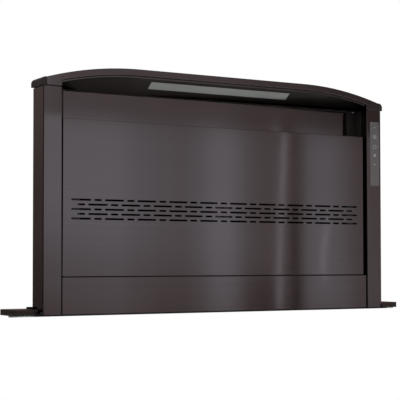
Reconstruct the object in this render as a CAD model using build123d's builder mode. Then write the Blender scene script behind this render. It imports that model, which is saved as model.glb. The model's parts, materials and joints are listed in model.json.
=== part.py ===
"""A telescopic downdraft vent: a tower that rises behind a cooktop, its housing, lift and blower.

X runs to the right, the front faces -Y and Z points up. The origin is the middle of the worktop's
surface under the trim flange. The tower is drawn raised, as it stands in use.
"""

from math import cos, radians, sin, sqrt
import os

from build123d import *

os.makedirs("parts", exist_ok=True)

# ---------------------------------------------------------------- driving dimensions, in millimetres
# Tower
tower_width = 785
tower_depth = 50
column_width = 38
column_height = 425
column_corner = 1.8
tower_tail = 110
stowed_height = 16
sheet = 1.5
running_gap = 0.3

# Front panel, its slots and the fixed panel below it
panel_bottom = 72.3
recess_opening = 56.5
panel_side_gap = 4.5
panel_setback = 6
panel_edge = 1.2
slot_rise = 126.6
slot_row_pitch = 8.9
slot_rows = 5
slot_height = 3.8
slot_long = 40.6
slot_short = 15.7
slot_side_margin = 17.4
slot_periods = 9
lower_panel_gap = 2.3
lower_panel_setback = 2
panel_joint = 0.8
stud_radius = 3
stud_length = 7.5
stud_inset_x = 9
stud_inset_z = 18
clip_radius = 6
clip_depth = 5.5
clip_facets = 8

# Inner frame, filters and the recess above the front panel
frame_setback = 17
filter_side_margin = 26.5
filter_bottom_margin = 4.7
filter_top_margin = 11
filter_depth = 9
filter_rim = 10
filter_rim_thickness = 3
filter_wall = 6
filter_centre_gap = 6
filter_gap = 0.5
pleats = 16
pleat_thickness = 0.8
pull_tab_width = 40
pull_tab_reach = 5
pull_tab_thickness = 3
recess_rear_gap = 5
recess_floor_drop = 4.5
guide_width = 21
back_swage_spacing = 212
back_swage_margin = 60
back_swage_corner = 4

# Crown
crown_seam = 2.5
crown_rise = 45.4
crown_flat = 384
crown_radius = 680
crown_wall = 1.5
crown_lip = 12.3
crown_end = 10.5
crown_overhang = 4
crown_end_proud = 0.5
end_bow_angle = 45
plug_depth = 12
plug_inset = 1
light_panel_front = 21.5
light_panel_rise = 28.5
light_strip = 3
lens_length = 324
lens_width = 20
lens_thickness = 3
lens_drop = 17.5
board_thickness = 1.6
led_board_width = 10
led_board_margin = 10

# Touch strip
touch_width = 24
touch_height = 138
touch_thickness = 3
touch_inset = 16.7
touch_drop = 24
touch_board_margin = 12
touch_gap = 0.3

# Flange, collar and housing
flange_side_lap = 9.5
flange_front_lap = 1.8
flange_rear_lap = 20
flange_height = 9
flange_corner = 2
flange_edge = 1.5
gasket_thickness = 3
gasket_width = 8
gasket_inset = 0.6
collar_cheek = 8.2
collar_height = 16
collar_depth = 3
collar_front_height = 2.2
channel_width = 43
chute_front_room = 8.5
chute_rear_room = 10
chute_floor_room = 40
channel_front = 10.2
pan_lip = 16
swage_width = 14
swage_height = 2.5
swage_slope = 30
chute_swages = 4
chute_swage_pitch = 120
chute_swage_margin = 65

# Lift
pulley_radius = 15
pulley_flange = 17.8
pulley_width = 12
pulley_flange_width = 1
pulley_facets = 12
belt_width = 10
belt_thickness = 1.5
belt_offset = 11.5
belt_centre_y = 13
idler_height = -22
drive_room = 41
shaft_radius = 5
idler_pin_radius = 4
bearing_gap = 0.06
bearing_height = 38
bearing_depth = 23
idler_block = 18
idler_collar_radius = 5.5
rail_width = 18
rail_head = 12
rail_neck = 4
rail_base = 3
rail_depth = 12
rail_head_depth = 4
rail_end_gap = 20
carriage_width = 22
carriage_height = 60
carriage_foot = 5
carriage_corner = 2
clamp_height = 20
clamp_wall = 3
gearbox_inset = 135.5
gearbox_width = 60
gearbox_rear_gap = 5
gearbox_above = 31
gearbox_below = 22
lift_motor_radius = 20
lift_motor_length = 116
lift_motor_rise = 10
lift_motor_boss_radius = 7
lift_motor_boss = 3
sensor_width = 7
sensor_depth = 8
sensor_height = 16

# Blower
blower_x = 40
blower_rise = 205
scroll_start_radius = 97
scroll_end_radius = 150
scroll_start_angle = -35
scroll_depth = 115
scroll_reach = 175
inlet_radius = 80
throat_taper = 14
throat_length = 17.5
round_facets = 24
wheel_radius = 88
wheel_blade_depth = 14
wheel_length = 78
wheel_blades = 24
wheel_disc = 2
wheel_ring_width = 11
hub_radius = 18
hub_length = 26
wheel_setback = 22
blade_thickness = 1.2
blade_lean = 6
motor_radius = 52
motor_length = 62
motor_shaft_radius = 6
motor_plate_radius = 68
motor_plate_hole = 26
fin_radius = 55
fin_width = 3
fin_pitch = 13
motor_fins = 3
motor_nose = 6
collar_radius = 75
outlet_y = -115
transition_length = 60
transition_margin = 2
outlet_collar_length = 85
damper_pin_radius = 2
damper_inset = 8
flap_thickness = 1.2
flap_gap = 0.9
flap_set_back = 4.4
knuckle_radius = 3.6
knuckle_length = 34

# Control box, legs and brackets
box_inset = 50.5
box_width = 150
box_height = 210
box_drop = 120
box_depth = 58
box_corner = 3
louvres = 8
louvre_length = 50
louvre_height = 3
louvre_pitch = 6
board_margin = 14
post_margin = 21
post_height = 8
post_radius = 4
part_margin = 42
part_height = 16
relay_width = 32
relay_height = 24
terminal_width = 64
terminal_height = 8
gland_radius = 9
gland_sides = 6
gland_nut_radius = 7.2
gland_bore_radius = 4.5
gland_hole_radius = 6
gland_length = 14
gland_inset = 30
leg_width = 46
leg_sheet = 2.5
leg_foot = 44
leg_foot_width = 90
leg_drop = 90
leg_overlap = 120
leg_hole_radius = 4
leg_hole_spacing = 60
leg_slot = 50
bracket_width = 60
bracket_drop = 38
bracket_reach = 34
bracket_inset = 135.5
worktop_thickness = 40
bracket_hole_radius = 3
bracket_hole_spacing = 34

# ---------------------------------------------------------------- worked-out places
half_width = tower_width / 2
half_depth = tower_depth / 2
column_inner = half_width - column_width
panel_top = column_height - recess_opening
recess_floor = panel_top - recess_floor_drop
recess_depth = tower_depth - recess_rear_gap
lift_travel = column_height - stowed_height
chute_half_width = half_width + channel_width
chute_front = half_depth + chute_front_room
chute_rear = half_depth + chute_rear_room
drive_height = -(tower_tail + lift_travel + drive_room)
chute_depth = chute_floor_room - drive_height
crown_base = column_height + crown_seam
crown_top = column_height + crown_rise
panel_half_width = column_inner - panel_side_gap
panel_front = -half_depth + panel_setback
frame_front = -half_depth + frame_setback
frame_back = frame_front + sheet
panel_back = frame_front - running_gap
recess_back = -half_depth + recess_depth
chute_bottom = -chute_depth
collar_half_width = half_width + running_gap + collar_cheek
collar_rear = chute_rear - sheet - running_gap
flange_half_width = chute_half_width + flange_side_lap
flange_front = channel_front + flange_front_lap
flange_rear = chute_rear + flange_rear_lap
flange_bottom = gasket_thickness
flange_top = gasket_thickness + flange_height
notch_half_width = collar_half_width + running_gap
scroll_front = -chute_front - scroll_depth
blower_height = chute_bottom + blower_rise
belt_centre_x = half_width + belt_offset
belt_inner_radius = pulley_radius + running_gap
belt_outer_radius = belt_inner_radius + belt_thickness
clamp_front = belt_centre_y - belt_outer_radius - running_gap - clamp_wall
clamp_back = belt_centre_y - carriage_width / 2
outlet_mouth_x = blower_x + scroll_reach
collar_start_x = outlet_mouth_x + transition_length
damper_x = collar_start_x + damper_inset
chute_inner_half_width = chute_half_width - sheet


# ---------------------------------------------------------------- helpers
def save(piece, name):
    """Name a finished piece and write its STEP file."""
    piece.part.label = name
    export_step(piece.part, f"parts/{name}.step")


def block(low, high, mode=Mode.ADD):
    """Add or cut a straight-sided block between two corners."""
    low_corner = Vector(*low)
    high_corner = Vector(*high)
    size = high_corner - low_corner
    with Locations((low_corner + high_corner) / 2):
        Box(size.X, size.Y, size.Z, mode=mode)


def front_plane(y):
    """A plane that faces the front at depth y, with X to the right and Z up."""
    return Plane.XZ.offset(-y)


def side_plane(x):
    """A plane that faces right at x, with Y and Z as its axes."""
    return Plane.YZ.offset(x)


def arch_z(x, top):
    """Height at x of an arched line over the tower whose flat middle lies at top."""
    run = max(abs(x) - crown_flat / 2, 0)
    return top - crown_radius + sqrt(crown_radius**2 - run**2)


def draw_arch(reach, top, bottom):
    """Draw a face under the arched line, between -reach and reach, down to a straight bottom."""
    shoulder = crown_flat / 2
    middle = (reach + shoulder) / 2
    with BuildLine() as outline:
        Line((-reach, bottom), (-reach, arch_z(reach, top)))
        ThreePointArc((-reach, arch_z(reach, top)), (-middle, arch_z(middle, top)), (-shoulder, top))
        Line((-shoulder, top), (shoulder, top))
        ThreePointArc((shoulder, top), (middle, arch_z(middle, top)), (reach, arch_z(reach, top)))
        Line((reach, arch_z(reach, top)), (reach, bottom))
        Line((reach, bottom), (-reach, bottom))
    make_face(outline.edges())


def draw_chute_outline():
    """Draw the housing's outline in plan: a wide duct with a guide channel at each end."""
    duct = notch_half_width + sheet
    with BuildLine() as outline:
        Polyline(
            (-chute_half_width, chute_rear),
            (chute_half_width, chute_rear),
            (chute_half_width, -channel_front),
            (duct, -channel_front),
            (duct, -chute_front),
            (-duct, -chute_front),
            (-duct, -channel_front),
            (-chute_half_width, -channel_front),
            close=True,
        )
    make_face(outline.edges())


# ---------------------------------------------------------------- tower columns
touch_centre = half_width - touch_inset
touch_middle = column_height - touch_drop - touch_height / 2


def column(name, side):
    """Make one brushed side column: a folded tube that is open at both ends."""
    with BuildPart() as tube:
        with BuildSketch(Plane.XY.offset(-tower_tail)):
            with Locations((side * (half_width - column_width / 2), 0)):
                RectangleRounded(column_width, tower_depth, column_corner)
                Rectangle(column_width - 2 * sheet, tower_depth - 2 * sheet, mode=Mode.SUBTRACT)
        extrude(amount=tower_tail + column_height)
        if side > 0:
            with BuildSketch(front_plane(-half_depth)):
                with Locations((touch_centre, touch_middle)):
                    Rectangle(touch_width + 2 * touch_gap, touch_height + 2 * touch_gap)
            extrude(amount=-2 * sheet, mode=Mode.SUBTRACT)
    save(tube, name)


column("left_column", -1)
column("right_column", 1)

# ---------------------------------------------------------------- tower skins and inner frame
rim_width = column_inner - filter_side_margin - filter_centre_gap / 2
filter_width = rim_width - 2 * filter_rim
filter_spacing = rim_width + filter_centre_gap
filter_bottom = panel_bottom + filter_bottom_margin + filter_rim
filter_top = recess_floor - filter_top_margin - filter_rim
filter_height = filter_top - filter_bottom
filter_middle = (filter_top + filter_bottom) / 2
back_swage_length = column_height - 2 * back_swage_margin
back_swage_places = [(x, column_height / 2) for x in (-back_swage_spacing, 0, back_swage_spacing)]


def draw_back_swages(wall):
    """Draw the upright beads of the rear skin, pulled in by a wall."""
    with Locations(*back_swage_places):
        Rectangle(swage_width - 2 * wall, back_swage_length - 2 * wall)


with BuildPart() as tower_back:
    with BuildSketch(front_plane(half_depth)):
        with Locations((0, (crown_base - tower_tail) / 2)):
            Rectangle(2 * column_inner, crown_base + tower_tail)
    extrude(amount=sheet)
    with BuildSketch(front_plane(half_depth - sheet)) as bead:
        draw_back_swages(0)
        chamfer(bead.vertices(), back_swage_corner)
    extrude(amount=swage_height - sheet / 2)
    with BuildSketch(front_plane(half_depth)) as bead_hollow:
        draw_back_swages(sheet)
        chamfer(bead_hollow.vertices(), back_swage_corner - sheet)
    extrude(amount=swage_height - sheet / 2, mode=Mode.SUBTRACT)
save(tower_back, "tower_back")

with BuildPart() as inner_frame:
    frame_top = recess_floor - sheet
    with BuildSketch(front_plane(frame_front)):
        with Locations((0, (frame_top - tower_tail) / 2)):
            Rectangle(2 * column_inner, frame_top + tower_tail)
        with Locations((-filter_spacing / 2, filter_middle), (filter_spacing / 2, filter_middle)):
            Rectangle(filter_width + 2 * filter_gap, filter_height + 2 * filter_gap, mode=Mode.SUBTRACT)
    extrude(amount=-sheet)
save(inner_frame, "inner_frame")

with BuildPart() as lower_panel:
    lower_front = -half_depth + lower_panel_setback
    lower_top = panel_bottom - panel_joint
    with BuildSketch(side_plane(-column_inner + lower_panel_gap)):
        with BuildLine():
            Polyline(
                (lower_front, -tower_tail),
                (lower_front, lower_top),
                (frame_front, lower_top),
                (frame_front, lower_top - sheet),
                (lower_front + sheet, lower_top - sheet),
                (lower_front + sheet, -tower_tail),
                close=True,
            )
        make_face()
    extrude(amount=2 * (column_inner - lower_panel_gap))
    bend = lower_panel.edges().filter_by(Axis.X).group_by(Axis.Z)[-1].sort_by(Axis.Y)[0]
    fillet(bend, panel_edge)
save(lower_panel, "lower_panel")

with BuildPart() as recess_panel:
    recess_reach = column_inner - guide_width
    with BuildSketch(side_plane(-recess_reach)):
        with BuildLine():
            Polyline(
                (frame_front, recess_floor),
                (recess_back - sheet, recess_floor),
                (recess_back - sheet, column_height - panel_joint),
                (recess_back, column_height - panel_joint),
                (recess_back, recess_floor - sheet),
                (frame_front, recess_floor - sheet),
                close=True,
            )
        make_face()
    extrude(amount=2 * recess_reach)
save(recess_panel, "recess_panel")

with BuildPart() as filter_guides:
    guide_height = column_height - recess_floor - 2 * panel_joint
    hollow_low = recess_floor - sheet
    for side in (-1, 1):
        guide_middle = side * (recess_reach + guide_width / 2)
        with BuildSketch(front_plane(half_depth - sheet)):
            with Locations((guide_middle, (column_height + recess_floor) / 2)):
                Rectangle(guide_width, guide_height)
        extrude(amount=recess_depth - frame_setback + sheet)
        hollow_left = guide_middle - side * sheet - guide_width / 2
        block(
            (hollow_left, frame_front - sheet, hollow_low),
            (hollow_left + guide_width, recess_back - sheet, column_height),
            mode=Mode.SUBTRACT,
        )
save(filter_guides, "filter_guides")

# ---------------------------------------------------------------- pull-off front panel
with BuildPart() as front_panel:
    panel_middle = (panel_top + panel_bottom) / 2
    panel_height = panel_top - panel_bottom
    slot_span = 2 * (panel_half_width - slot_side_margin)
    slot_period = (slot_span - slot_long) / slot_periods
    slot_row_middle = panel_bottom + slot_rise
    with BuildSketch(front_plane(panel_front)):
        with Locations((0, panel_middle)):
            Rectangle(2 * panel_half_width, panel_height)
    extrude(amount=panel_front - panel_back)
    front_rim = front_panel.faces().sort_by(Axis.Y)[0].edges()
    fillet(front_rim, panel_edge)
    with BuildSketch(front_plane(panel_back)):
        with Locations((0, panel_middle)):
            Rectangle(2 * (panel_half_width - sheet), panel_height - 2 * sheet)
    extrude(amount=panel_back - panel_front - sheet, mode=Mode.SUBTRACT)
    with BuildSketch(front_plane(panel_front)):
        for row in range(slot_rows):
            z = slot_row_middle + (row - (slot_rows - 1) / 2) * slot_row_pitch
            even = row % 2 == 0
            outer_length = slot_long if even else slot_short
            inner_length = slot_short if even else slot_long
            with Locations((0, z)):
                with GridLocations(slot_period, slot_row_pitch, slot_periods + 1, 1):
                    Rectangle(outer_length, slot_height)
                with GridLocations(slot_period, slot_row_pitch, slot_periods, 1):
                    Rectangle(inner_length, slot_height)
    extrude(amount=-2 * sheet, mode=Mode.SUBTRACT)
save(front_panel, "front_panel")

stud_x = panel_half_width - stud_inset_x
stud_places = [
    (x, z) for x in (-stud_x, stud_x) for z in (panel_bottom + stud_inset_z, panel_top - stud_inset_z)
]

with BuildPart() as panel_studs:
    with BuildSketch(front_plane(panel_front + sheet)):
        with Locations(*stud_places):
            RegularPolygon(stud_radius, clip_facets)
    extrude(amount=-stud_length)
save(panel_studs, "panel_studs")

with BuildPart() as catch_clips:
    with BuildSketch(front_plane(frame_front)):
        with Locations(*stud_places):
            RegularPolygon(clip_radius, clip_facets)
            RegularPolygon(stud_radius + running_gap, clip_facets, mode=Mode.SUBTRACT)
    extrude(amount=clip_depth)
save(catch_clips, "catch_clips")

# ---------------------------------------------------------------- grease filters
rim_height = filter_height + 2 * filter_rim
mesh_width = filter_width - 2 * filter_wall
mesh_height = filter_height - 2 * filter_wall


def filter_frame(name, side):
    """Make one filter's frame: a rim that rests on the inner frame and a sleeve through it."""
    place = (side * filter_spacing / 2, filter_middle)
    with BuildPart() as frame:
        with BuildSketch(front_plane(panel_back)):
            with Locations(place):
                Rectangle(rim_width, rim_height)
                Rectangle(mesh_width, mesh_height, mode=Mode.SUBTRACT)
        extrude(amount=filter_rim_thickness)
        with BuildSketch(front_plane(panel_back)):
            with Locations(place):
                Rectangle(filter_width, filter_height)
                Rectangle(mesh_width, mesh_height, mode=Mode.SUBTRACT)
        extrude(amount=-filter_depth)
        with BuildSketch(front_plane(panel_back - filter_rim_thickness)):
            with Locations((place[0], filter_middle + filter_height / 2)):
                Rectangle(pull_tab_width, pull_tab_thickness)
        extrude(amount=pull_tab_reach)
    save(frame, name)


def filter_mesh(name, side):
    """Make one filter's pleated mesh, which fills its frame."""
    left = side * filter_spacing / 2 - mesh_width / 2
    pleat_front = panel_back - filter_rim_thickness + pleat_thickness
    pleat_back = panel_back + filter_depth - 2 * pleat_thickness
    fold = mesh_width / (2 * pleats)
    crests = [(left + fold * i, pleat_back if i % 2 else pleat_front) for i in range(2 * pleats + 1)]
    rear_crests = [(x, y + 2 * pleat_thickness) for x, y in reversed(crests)]
    with BuildPart() as mesh:
        with BuildSketch(Plane.XY.offset(filter_middle - mesh_height / 2)):
            with BuildLine():
                Polyline(*crests, *rear_crests, close=True)
            make_face()
        extrude(amount=mesh_height)
    save(mesh, name)


filter_frame("filter_frame_left", -1)
filter_frame("filter_frame_right", 1)
filter_mesh("filter_mesh_left", -1)
filter_mesh("filter_mesh_right", 1)

# ---------------------------------------------------------------- crown
crown_reach = half_width + crown_overhang - crown_end

with BuildPart() as crown_cap:
    with BuildSketch(front_plane(half_depth)):
        draw_arch(crown_reach, crown_top, crown_base)
    extrude(amount=tower_depth)
    with BuildSketch(front_plane(half_depth - crown_wall)):
        draw_arch(crown_reach - crown_wall, crown_top - crown_wall, crown_base)
    extrude(amount=tower_depth - 2 * crown_wall, mode=Mode.SUBTRACT)
    with BuildSketch(front_plane(0)):
        draw_arch(column_inner, crown_top - crown_lip, crown_base)
    extrude(amount=tower_depth, mode=Mode.SUBTRACT)
    for side in (-1, 1):
        inner_face = side * column_inner
        outer_face = side * (column_inner + crown_wall)
        with BuildSketch(front_plane(half_depth)):
            with BuildLine():
                Polyline(
                    (inner_face, crown_base),
                    (outer_face, crown_base),
                    (outer_face, arch_z(outer_face, crown_top - crown_wall / 2)),
                    (inner_face, arch_z(inner_face, crown_top - crown_wall / 2)),
                    close=True,
                )
            make_face()
        extrude(amount=tower_depth)
save(crown_cap, "crown_cap")

end_top = arch_z(crown_reach, crown_top)
end_foot = crown_base - crown_seam / 2
end_corner = end_top - end_foot
end_outer = crown_reach + crown_end
end_bow = cos(radians(end_bow_angle))
bow_z = end_foot + end_corner * end_bow
plug_width = column_width - 2 * sheet - running_gap
plug_breadth = tower_depth - 2 * sheet - running_gap
seat_inner = column_inner + plug_inset
seat_outer = crown_reach + sheet

with BuildPart() as crown_ends:
    for side in (-1, 1):
        inner_x = side * crown_reach
        outer_x = side * end_outer
        bow_x = side * (end_outer - crown_end * (1 - end_bow))
        with BuildSketch(front_plane(half_depth + crown_end_proud)):
            with BuildLine():
                Line((inner_x, end_top), (inner_x, end_foot))
                Line((inner_x, end_foot), (outer_x, end_foot))
                ThreePointArc((outer_x, end_foot), (bow_x, bow_z), (inner_x, end_top))
            make_face()
        extrude(amount=tower_depth + 2 * crown_end_proud)
        # a thin seat runs inward over the column and carries the tongue that plugs into it
        with BuildSketch(Plane.XY.offset(column_height)):
            with Locations((side * (seat_outer + seat_inner) / 2, 0)):
                Rectangle(seat_outer - seat_inner, tower_depth - 2 * plug_inset)
        extrude(amount=crown_seam)
        with BuildSketch(Plane.XY.offset(column_height)):
            with Locations((side * (half_width - column_width / 2), 0)):
                Rectangle(plug_width, plug_breadth)
                Rectangle(plug_width - 2 * sheet, plug_breadth - 2 * sheet, mode=Mode.SUBTRACT)
        extrude(amount=-plug_depth)
save(crown_ends, "crown_ends")

# the slanted underside falls from behind the lip to the top of the recess panel
slope_front = Vector(0, -light_panel_front, column_height + light_panel_rise)
slope_back = Vector(0, recess_back, column_height)
slope = (slope_back - slope_front).normalized()
slope_normal = Vector(0, slope.Z, -slope.Y)
lens_plane = Plane(origin=slope_front + slope * lens_drop, x_dir=(1, 0, 0), z_dir=slope_normal)

with BuildPart() as light_panel:
    back = slope_normal * -sheet
    strip_top = slope_front.Z + light_strip
    with BuildSketch(side_plane(-column_inner)):
        with BuildLine():
            Polyline(
                (slope_front.Y, slope_front.Z),
                (slope_back.Y, slope_back.Z),
                (slope_back.Y + back.Y, slope_back.Z + back.Z),
                (slope_front.Y + sheet, slope_front.Z + sheet),
                (slope_front.Y + sheet, strip_top),
                (slope_front.Y, strip_top),
                close=True,
            )
        make_face()
    extrude(amount=2 * column_inner)
    with BuildSketch(front_plane(half_depth)):
        draw_arch(column_inner, crown_top - crown_wall, column_height - sheet)
    extrude(amount=tower_depth, mode=Mode.INTERSECT)
    with BuildSketch(lens_plane):
        Rectangle(lens_length, lens_width)
    extrude(amount=-2 * sheet, mode=Mode.SUBTRACT)
save(light_panel, "light_panel")

with BuildPart() as light_lens:
    with BuildSketch(lens_plane):
        Rectangle(lens_length, lens_width)
    extrude(amount=-lens_thickness)
save(light_lens, "light_lens")

with BuildPart() as led_board:
    with BuildSketch(lens_plane.offset(-lens_thickness)):
        Rectangle(lens_length - 2 * led_board_margin, led_board_width)
    extrude(amount=-board_thickness)
save(led_board, "led_board")

# ---------------------------------------------------------------- touch strip
with BuildPart() as touch_strip:
    with BuildSketch(front_plane(-half_depth)):
        with Locations((touch_centre, touch_middle)):
            RectangleRounded(touch_width, touch_height, column_corner)
    extrude(amount=-touch_thickness)
save(touch_strip, "touch_strip")

with BuildPart() as touch_board:
    with BuildSketch(front_plane(-half_depth + touch_thickness)):
        with Locations((touch_centre - sheet, touch_middle)):
            Rectangle(touch_width, touch_height + 2 * touch_board_margin)
    extrude(amount=-board_thickness)
save(touch_board, "touch_board")

# ---------------------------------------------------------------- lift carriages on the tower
carriage_bottom = -tower_tail + carriage_foot
carriage_reach = chute_inner_half_width - rail_base - running_gap
rail_head_x = chute_inner_half_width - rail_depth


def lift_carriage(name, side):
    """Make one glider, which hangs on the tower and runs on a T-shaped rail."""
    head_low = rail_head_x - running_gap
    head_high = rail_head_x + rail_head_depth + running_gap
    with BuildPart() as glider:
        with BuildSketch(Plane.XY.offset(carriage_bottom)):
            with Locations((side * (half_width + carriage_reach) / 2, belt_centre_y)):
                Rectangle(carriage_reach - half_width, carriage_width)
            with Locations((side * (head_low + head_high) / 2, belt_centre_y)):
                Rectangle(head_high - head_low, rail_head + 2 * running_gap, mode=Mode.SUBTRACT)
            with Locations((side * (head_high + carriage_reach) / 2, belt_centre_y)):
                neck = rail_neck + 2 * running_gap
                Rectangle(carriage_reach - head_high, neck, mode=Mode.SUBTRACT)
        extrude(amount=carriage_height)
        fillet(glider.edges().filter_by(Axis.Z).sort_by(Axis.X)[::side][:2], carriage_corner)
    save(glider, name)


lift_carriage("lift_carriage_left", -1)
lift_carriage("lift_carriage_right", 1)

with BuildPart() as belt_clamps:
    clamp_bottom = carriage_bottom + (carriage_height - clamp_height) / 2
    strand_front = belt_centre_y - belt_outer_radius - running_gap
    strand_back = belt_centre_y - belt_inner_radius + running_gap
    strand_width = belt_width + 2 * running_gap
    for side in (-1, 1):
        with BuildSketch(Plane.XY.offset(clamp_bottom)):
            with Locations((side * belt_centre_x, (clamp_front + clamp_back) / 2)):
                Rectangle(strand_width + 2 * clamp_wall, clamp_back - clamp_front)
            with Locations((side * belt_centre_x, (strand_front + strand_back) / 2)):
                Rectangle(strand_width, strand_back - strand_front, mode=Mode.SUBTRACT)
        extrude(amount=clamp_height)
save(belt_clamps, "belt_clamps")

# ---------------------------------------------------------------- trim flange, gasket and collar
with BuildPart() as worktop_flange:
    flange_middle = (flange_rear - flange_front) / 2
    with BuildSketch(Plane.XY.offset(flange_bottom)):
        with Locations((0, flange_middle)):
            Rectangle(2 * flange_half_width, flange_rear + flange_front)
    extrude(amount=flange_height)
    chamfer(worktop_flange.edges().filter_by(Axis.Z), flange_corner)
    chamfer(worktop_flange.faces().sort_by(Axis.Z)[-1].edges(), flange_edge)
    with BuildSketch(Plane.XY.offset(flange_bottom)):
        with Locations((0, flange_middle)):
            Rectangle(2 * (flange_half_width - sheet), flange_rear + flange_front - 2 * sheet)
    extrude(amount=flange_height - sheet, mode=Mode.SUBTRACT)
    block(
        (-notch_half_width, -flange_rear, 0),
        (notch_half_width, chute_rear - sheet, flange_top + sheet),
        mode=Mode.SUBTRACT,
    )
save(worktop_flange, "worktop_flange")

with BuildPart() as flange_gasket:
    gasket_half = flange_half_width - gasket_inset
    with BuildSketch(Plane.XY):
        with Locations((0, flange_middle)):
            Rectangle(2 * gasket_half, flange_rear + flange_front - 2 * gasket_inset)
        with Locations((0, flange_middle - gasket_width)):
            Rectangle(2 * (gasket_half - gasket_width), flange_rear + flange_front, mode=Mode.SUBTRACT)
    extrude(amount=gasket_thickness)
save(flange_gasket, "flange_gasket")

with BuildPart() as wiper_collar:
    collar_front = chute_front - sheet - running_gap
    with BuildSketch(Plane.XY.offset(-collar_depth)):
        with Locations((0, (collar_rear - collar_front) / 2)):
            Rectangle(2 * collar_half_width, collar_rear + collar_front)
        Rectangle(tower_width + 2 * running_gap, tower_depth + 2 * running_gap, mode=Mode.SUBTRACT)
    extrude(amount=collar_depth + collar_height)
    block(
        (-collar_half_width, -chute_front, collar_front_height),
        (collar_half_width, -half_depth - running_gap, collar_height),
        mode=Mode.SUBTRACT,
    )
save(wiper_collar, "wiper_collar")

# ---------------------------------------------------------------- housing under the worktop
gearbox_x = gearbox_inset - chute_half_width
lift_motor_height = drive_height + lift_motor_rise

with BuildPart() as chute:
    with BuildSketch(Plane.XY.offset(chute_bottom)) as chute_walls:
        draw_chute_outline()
        offset(amount=-sheet, kind=Kind.INTERSECTION, mode=Mode.SUBTRACT)
    extrude(amount=chute_depth + flange_top - sheet - running_gap)
    block(
        (-notch_half_width - sheet, -chute_front - sheet, -running_gap),
        (notch_half_width + sheet, -channel_front - running_gap, flange_top),
        mode=Mode.SUBTRACT,
    )
    with BuildSketch(front_plane(-chute_front)):
        with Locations((blower_x, blower_height)):
            Circle(inlet_radius + sheet)
        with Locations((gearbox_x, lift_motor_height)):
            Circle(lift_motor_radius + sheet)
    extrude(amount=-2 * sheet, mode=Mode.SUBTRACT)
    swage_length = 2 * (chute_half_width - chute_swage_margin)
    swage_places = [(0, -chute_swage_pitch * (i + 1)) for i in range(chute_swages)]
    with BuildSketch(front_plane(chute_rear)) as chute_beads:
        with Locations(*swage_places):
            Rectangle(swage_length, swage_width)
        chamfer(chute_beads.vertices(), back_swage_corner)
    extrude(amount=-swage_height, taper=swage_slope)
save(chute, "chute")

with BuildPart() as chute_floor:
    with BuildSketch(Plane.XY.offset(chute_bottom)):
        draw_chute_outline()
        offset(amount=-sheet, kind=Kind.INTERSECTION, mode=Mode.REPLACE)
    extrude(amount=pan_lip)
    with BuildSketch(Plane.XY.offset(chute_bottom + sheet)):
        draw_chute_outline()
        offset(amount=-2 * sheet, kind=Kind.INTERSECTION, mode=Mode.REPLACE)
    extrude(amount=pan_lip, mode=Mode.SUBTRACT)
save(chute_floor, "chute_floor")

# ---------------------------------------------------------------- guide rails, belts and pulleys
rail_low = drive_height + shaft_radius + rail_end_gap
rail_high = idler_height - rail_end_gap
belt_middle = (idler_height + drive_height) / 2
belt_run = idler_height - drive_height


def guide_rail(name, side):
    """Make one T-shaped rail, which stands against the housing's side wall."""
    with BuildPart() as rail:
        with BuildSketch(Plane.XY.offset(rail_low)):
            with Locations((side * (chute_inner_half_width - rail_base / 2), belt_centre_y)):
                Rectangle(rail_base, rail_width)
            with Locations((side * (chute_inner_half_width - rail_depth / 2), belt_centre_y)):
                Rectangle(rail_depth, rail_neck)
            with Locations((side * (rail_head_x + rail_head_depth / 2), belt_centre_y)):
                Rectangle(rail_head_depth, rail_head)
        extrude(amount=rail_high - rail_low)
    save(rail, name)


def lift_belt(name, side):
    """Make one closed belt loop, which runs over a drive pulley and an idler."""
    with BuildPart() as belt:
        with BuildSketch(side_plane(side * belt_centre_x - belt_width / 2)):
            with Locations((belt_centre_y, belt_middle)):
                SlotCenterToCenter(belt_run, 2 * belt_outer_radius, rotation=90)
                SlotCenterToCenter(belt_run, 2 * belt_inner_radius, rotation=90, mode=Mode.SUBTRACT)
        extrude(amount=belt_width)
    save(belt, name)


guide_rail("guide_rail_left", -1)
guide_rail("guide_rail_right", 1)
lift_belt("lift_belt_left", -1)
lift_belt("lift_belt_right", 1)


def draw_pulley(side, height, bore_radius):
    """Return one flanged belt pulley on its own axis."""
    start = side * belt_centre_x - pulley_width / 2
    with BuildPart(mode=Mode.PRIVATE) as wheel:
        with BuildSketch(side_plane(start)):
            with Locations((belt_centre_y, height)):
                RegularPolygon(pulley_radius, pulley_facets)
        extrude(amount=pulley_width)
        for edge in (start - pulley_flange_width, start + pulley_width):
            with BuildSketch(side_plane(edge)):
                with Locations((belt_centre_y, height)):
                    RegularPolygon(pulley_flange, pulley_facets)
            extrude(amount=pulley_flange_width)
        with BuildSketch(side_plane(start - pulley_flange_width)):
            with Locations((belt_centre_y, height)):
                Circle(bore_radius)
        extrude(amount=pulley_width + 2 * pulley_flange_width, mode=Mode.SUBTRACT)
    return wheel.part


with BuildPart() as drive_pulleys:
    add(draw_pulley(-1, drive_height, shaft_radius))
    add(draw_pulley(1, drive_height, shaft_radius))
save(drive_pulleys, "drive_pulleys")

with BuildPart() as idler_pulley_left:
    add(draw_pulley(-1, idler_height, idler_pin_radius + bearing_gap))
save(idler_pulley_left, "idler_pulley_left")

with BuildPart() as idler_pulley_right:
    add(draw_pulley(1, idler_height, idler_pin_radius + bearing_gap))
save(idler_pulley_right, "idler_pulley_right")

pulley_inner = belt_centre_x - pulley_width / 2 - pulley_flange_width
pulley_outer = belt_centre_x + pulley_width / 2 + pulley_flange_width

with BuildPart() as drive_shaft:
    shaft_reach = chute_inner_half_width - sheet
    with BuildSketch(side_plane(-shaft_reach)):
        with Locations((belt_centre_y, drive_height)):
            Circle(shaft_radius)
    extrude(amount=2 * shaft_reach)
save(drive_shaft, "drive_shaft")

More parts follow.
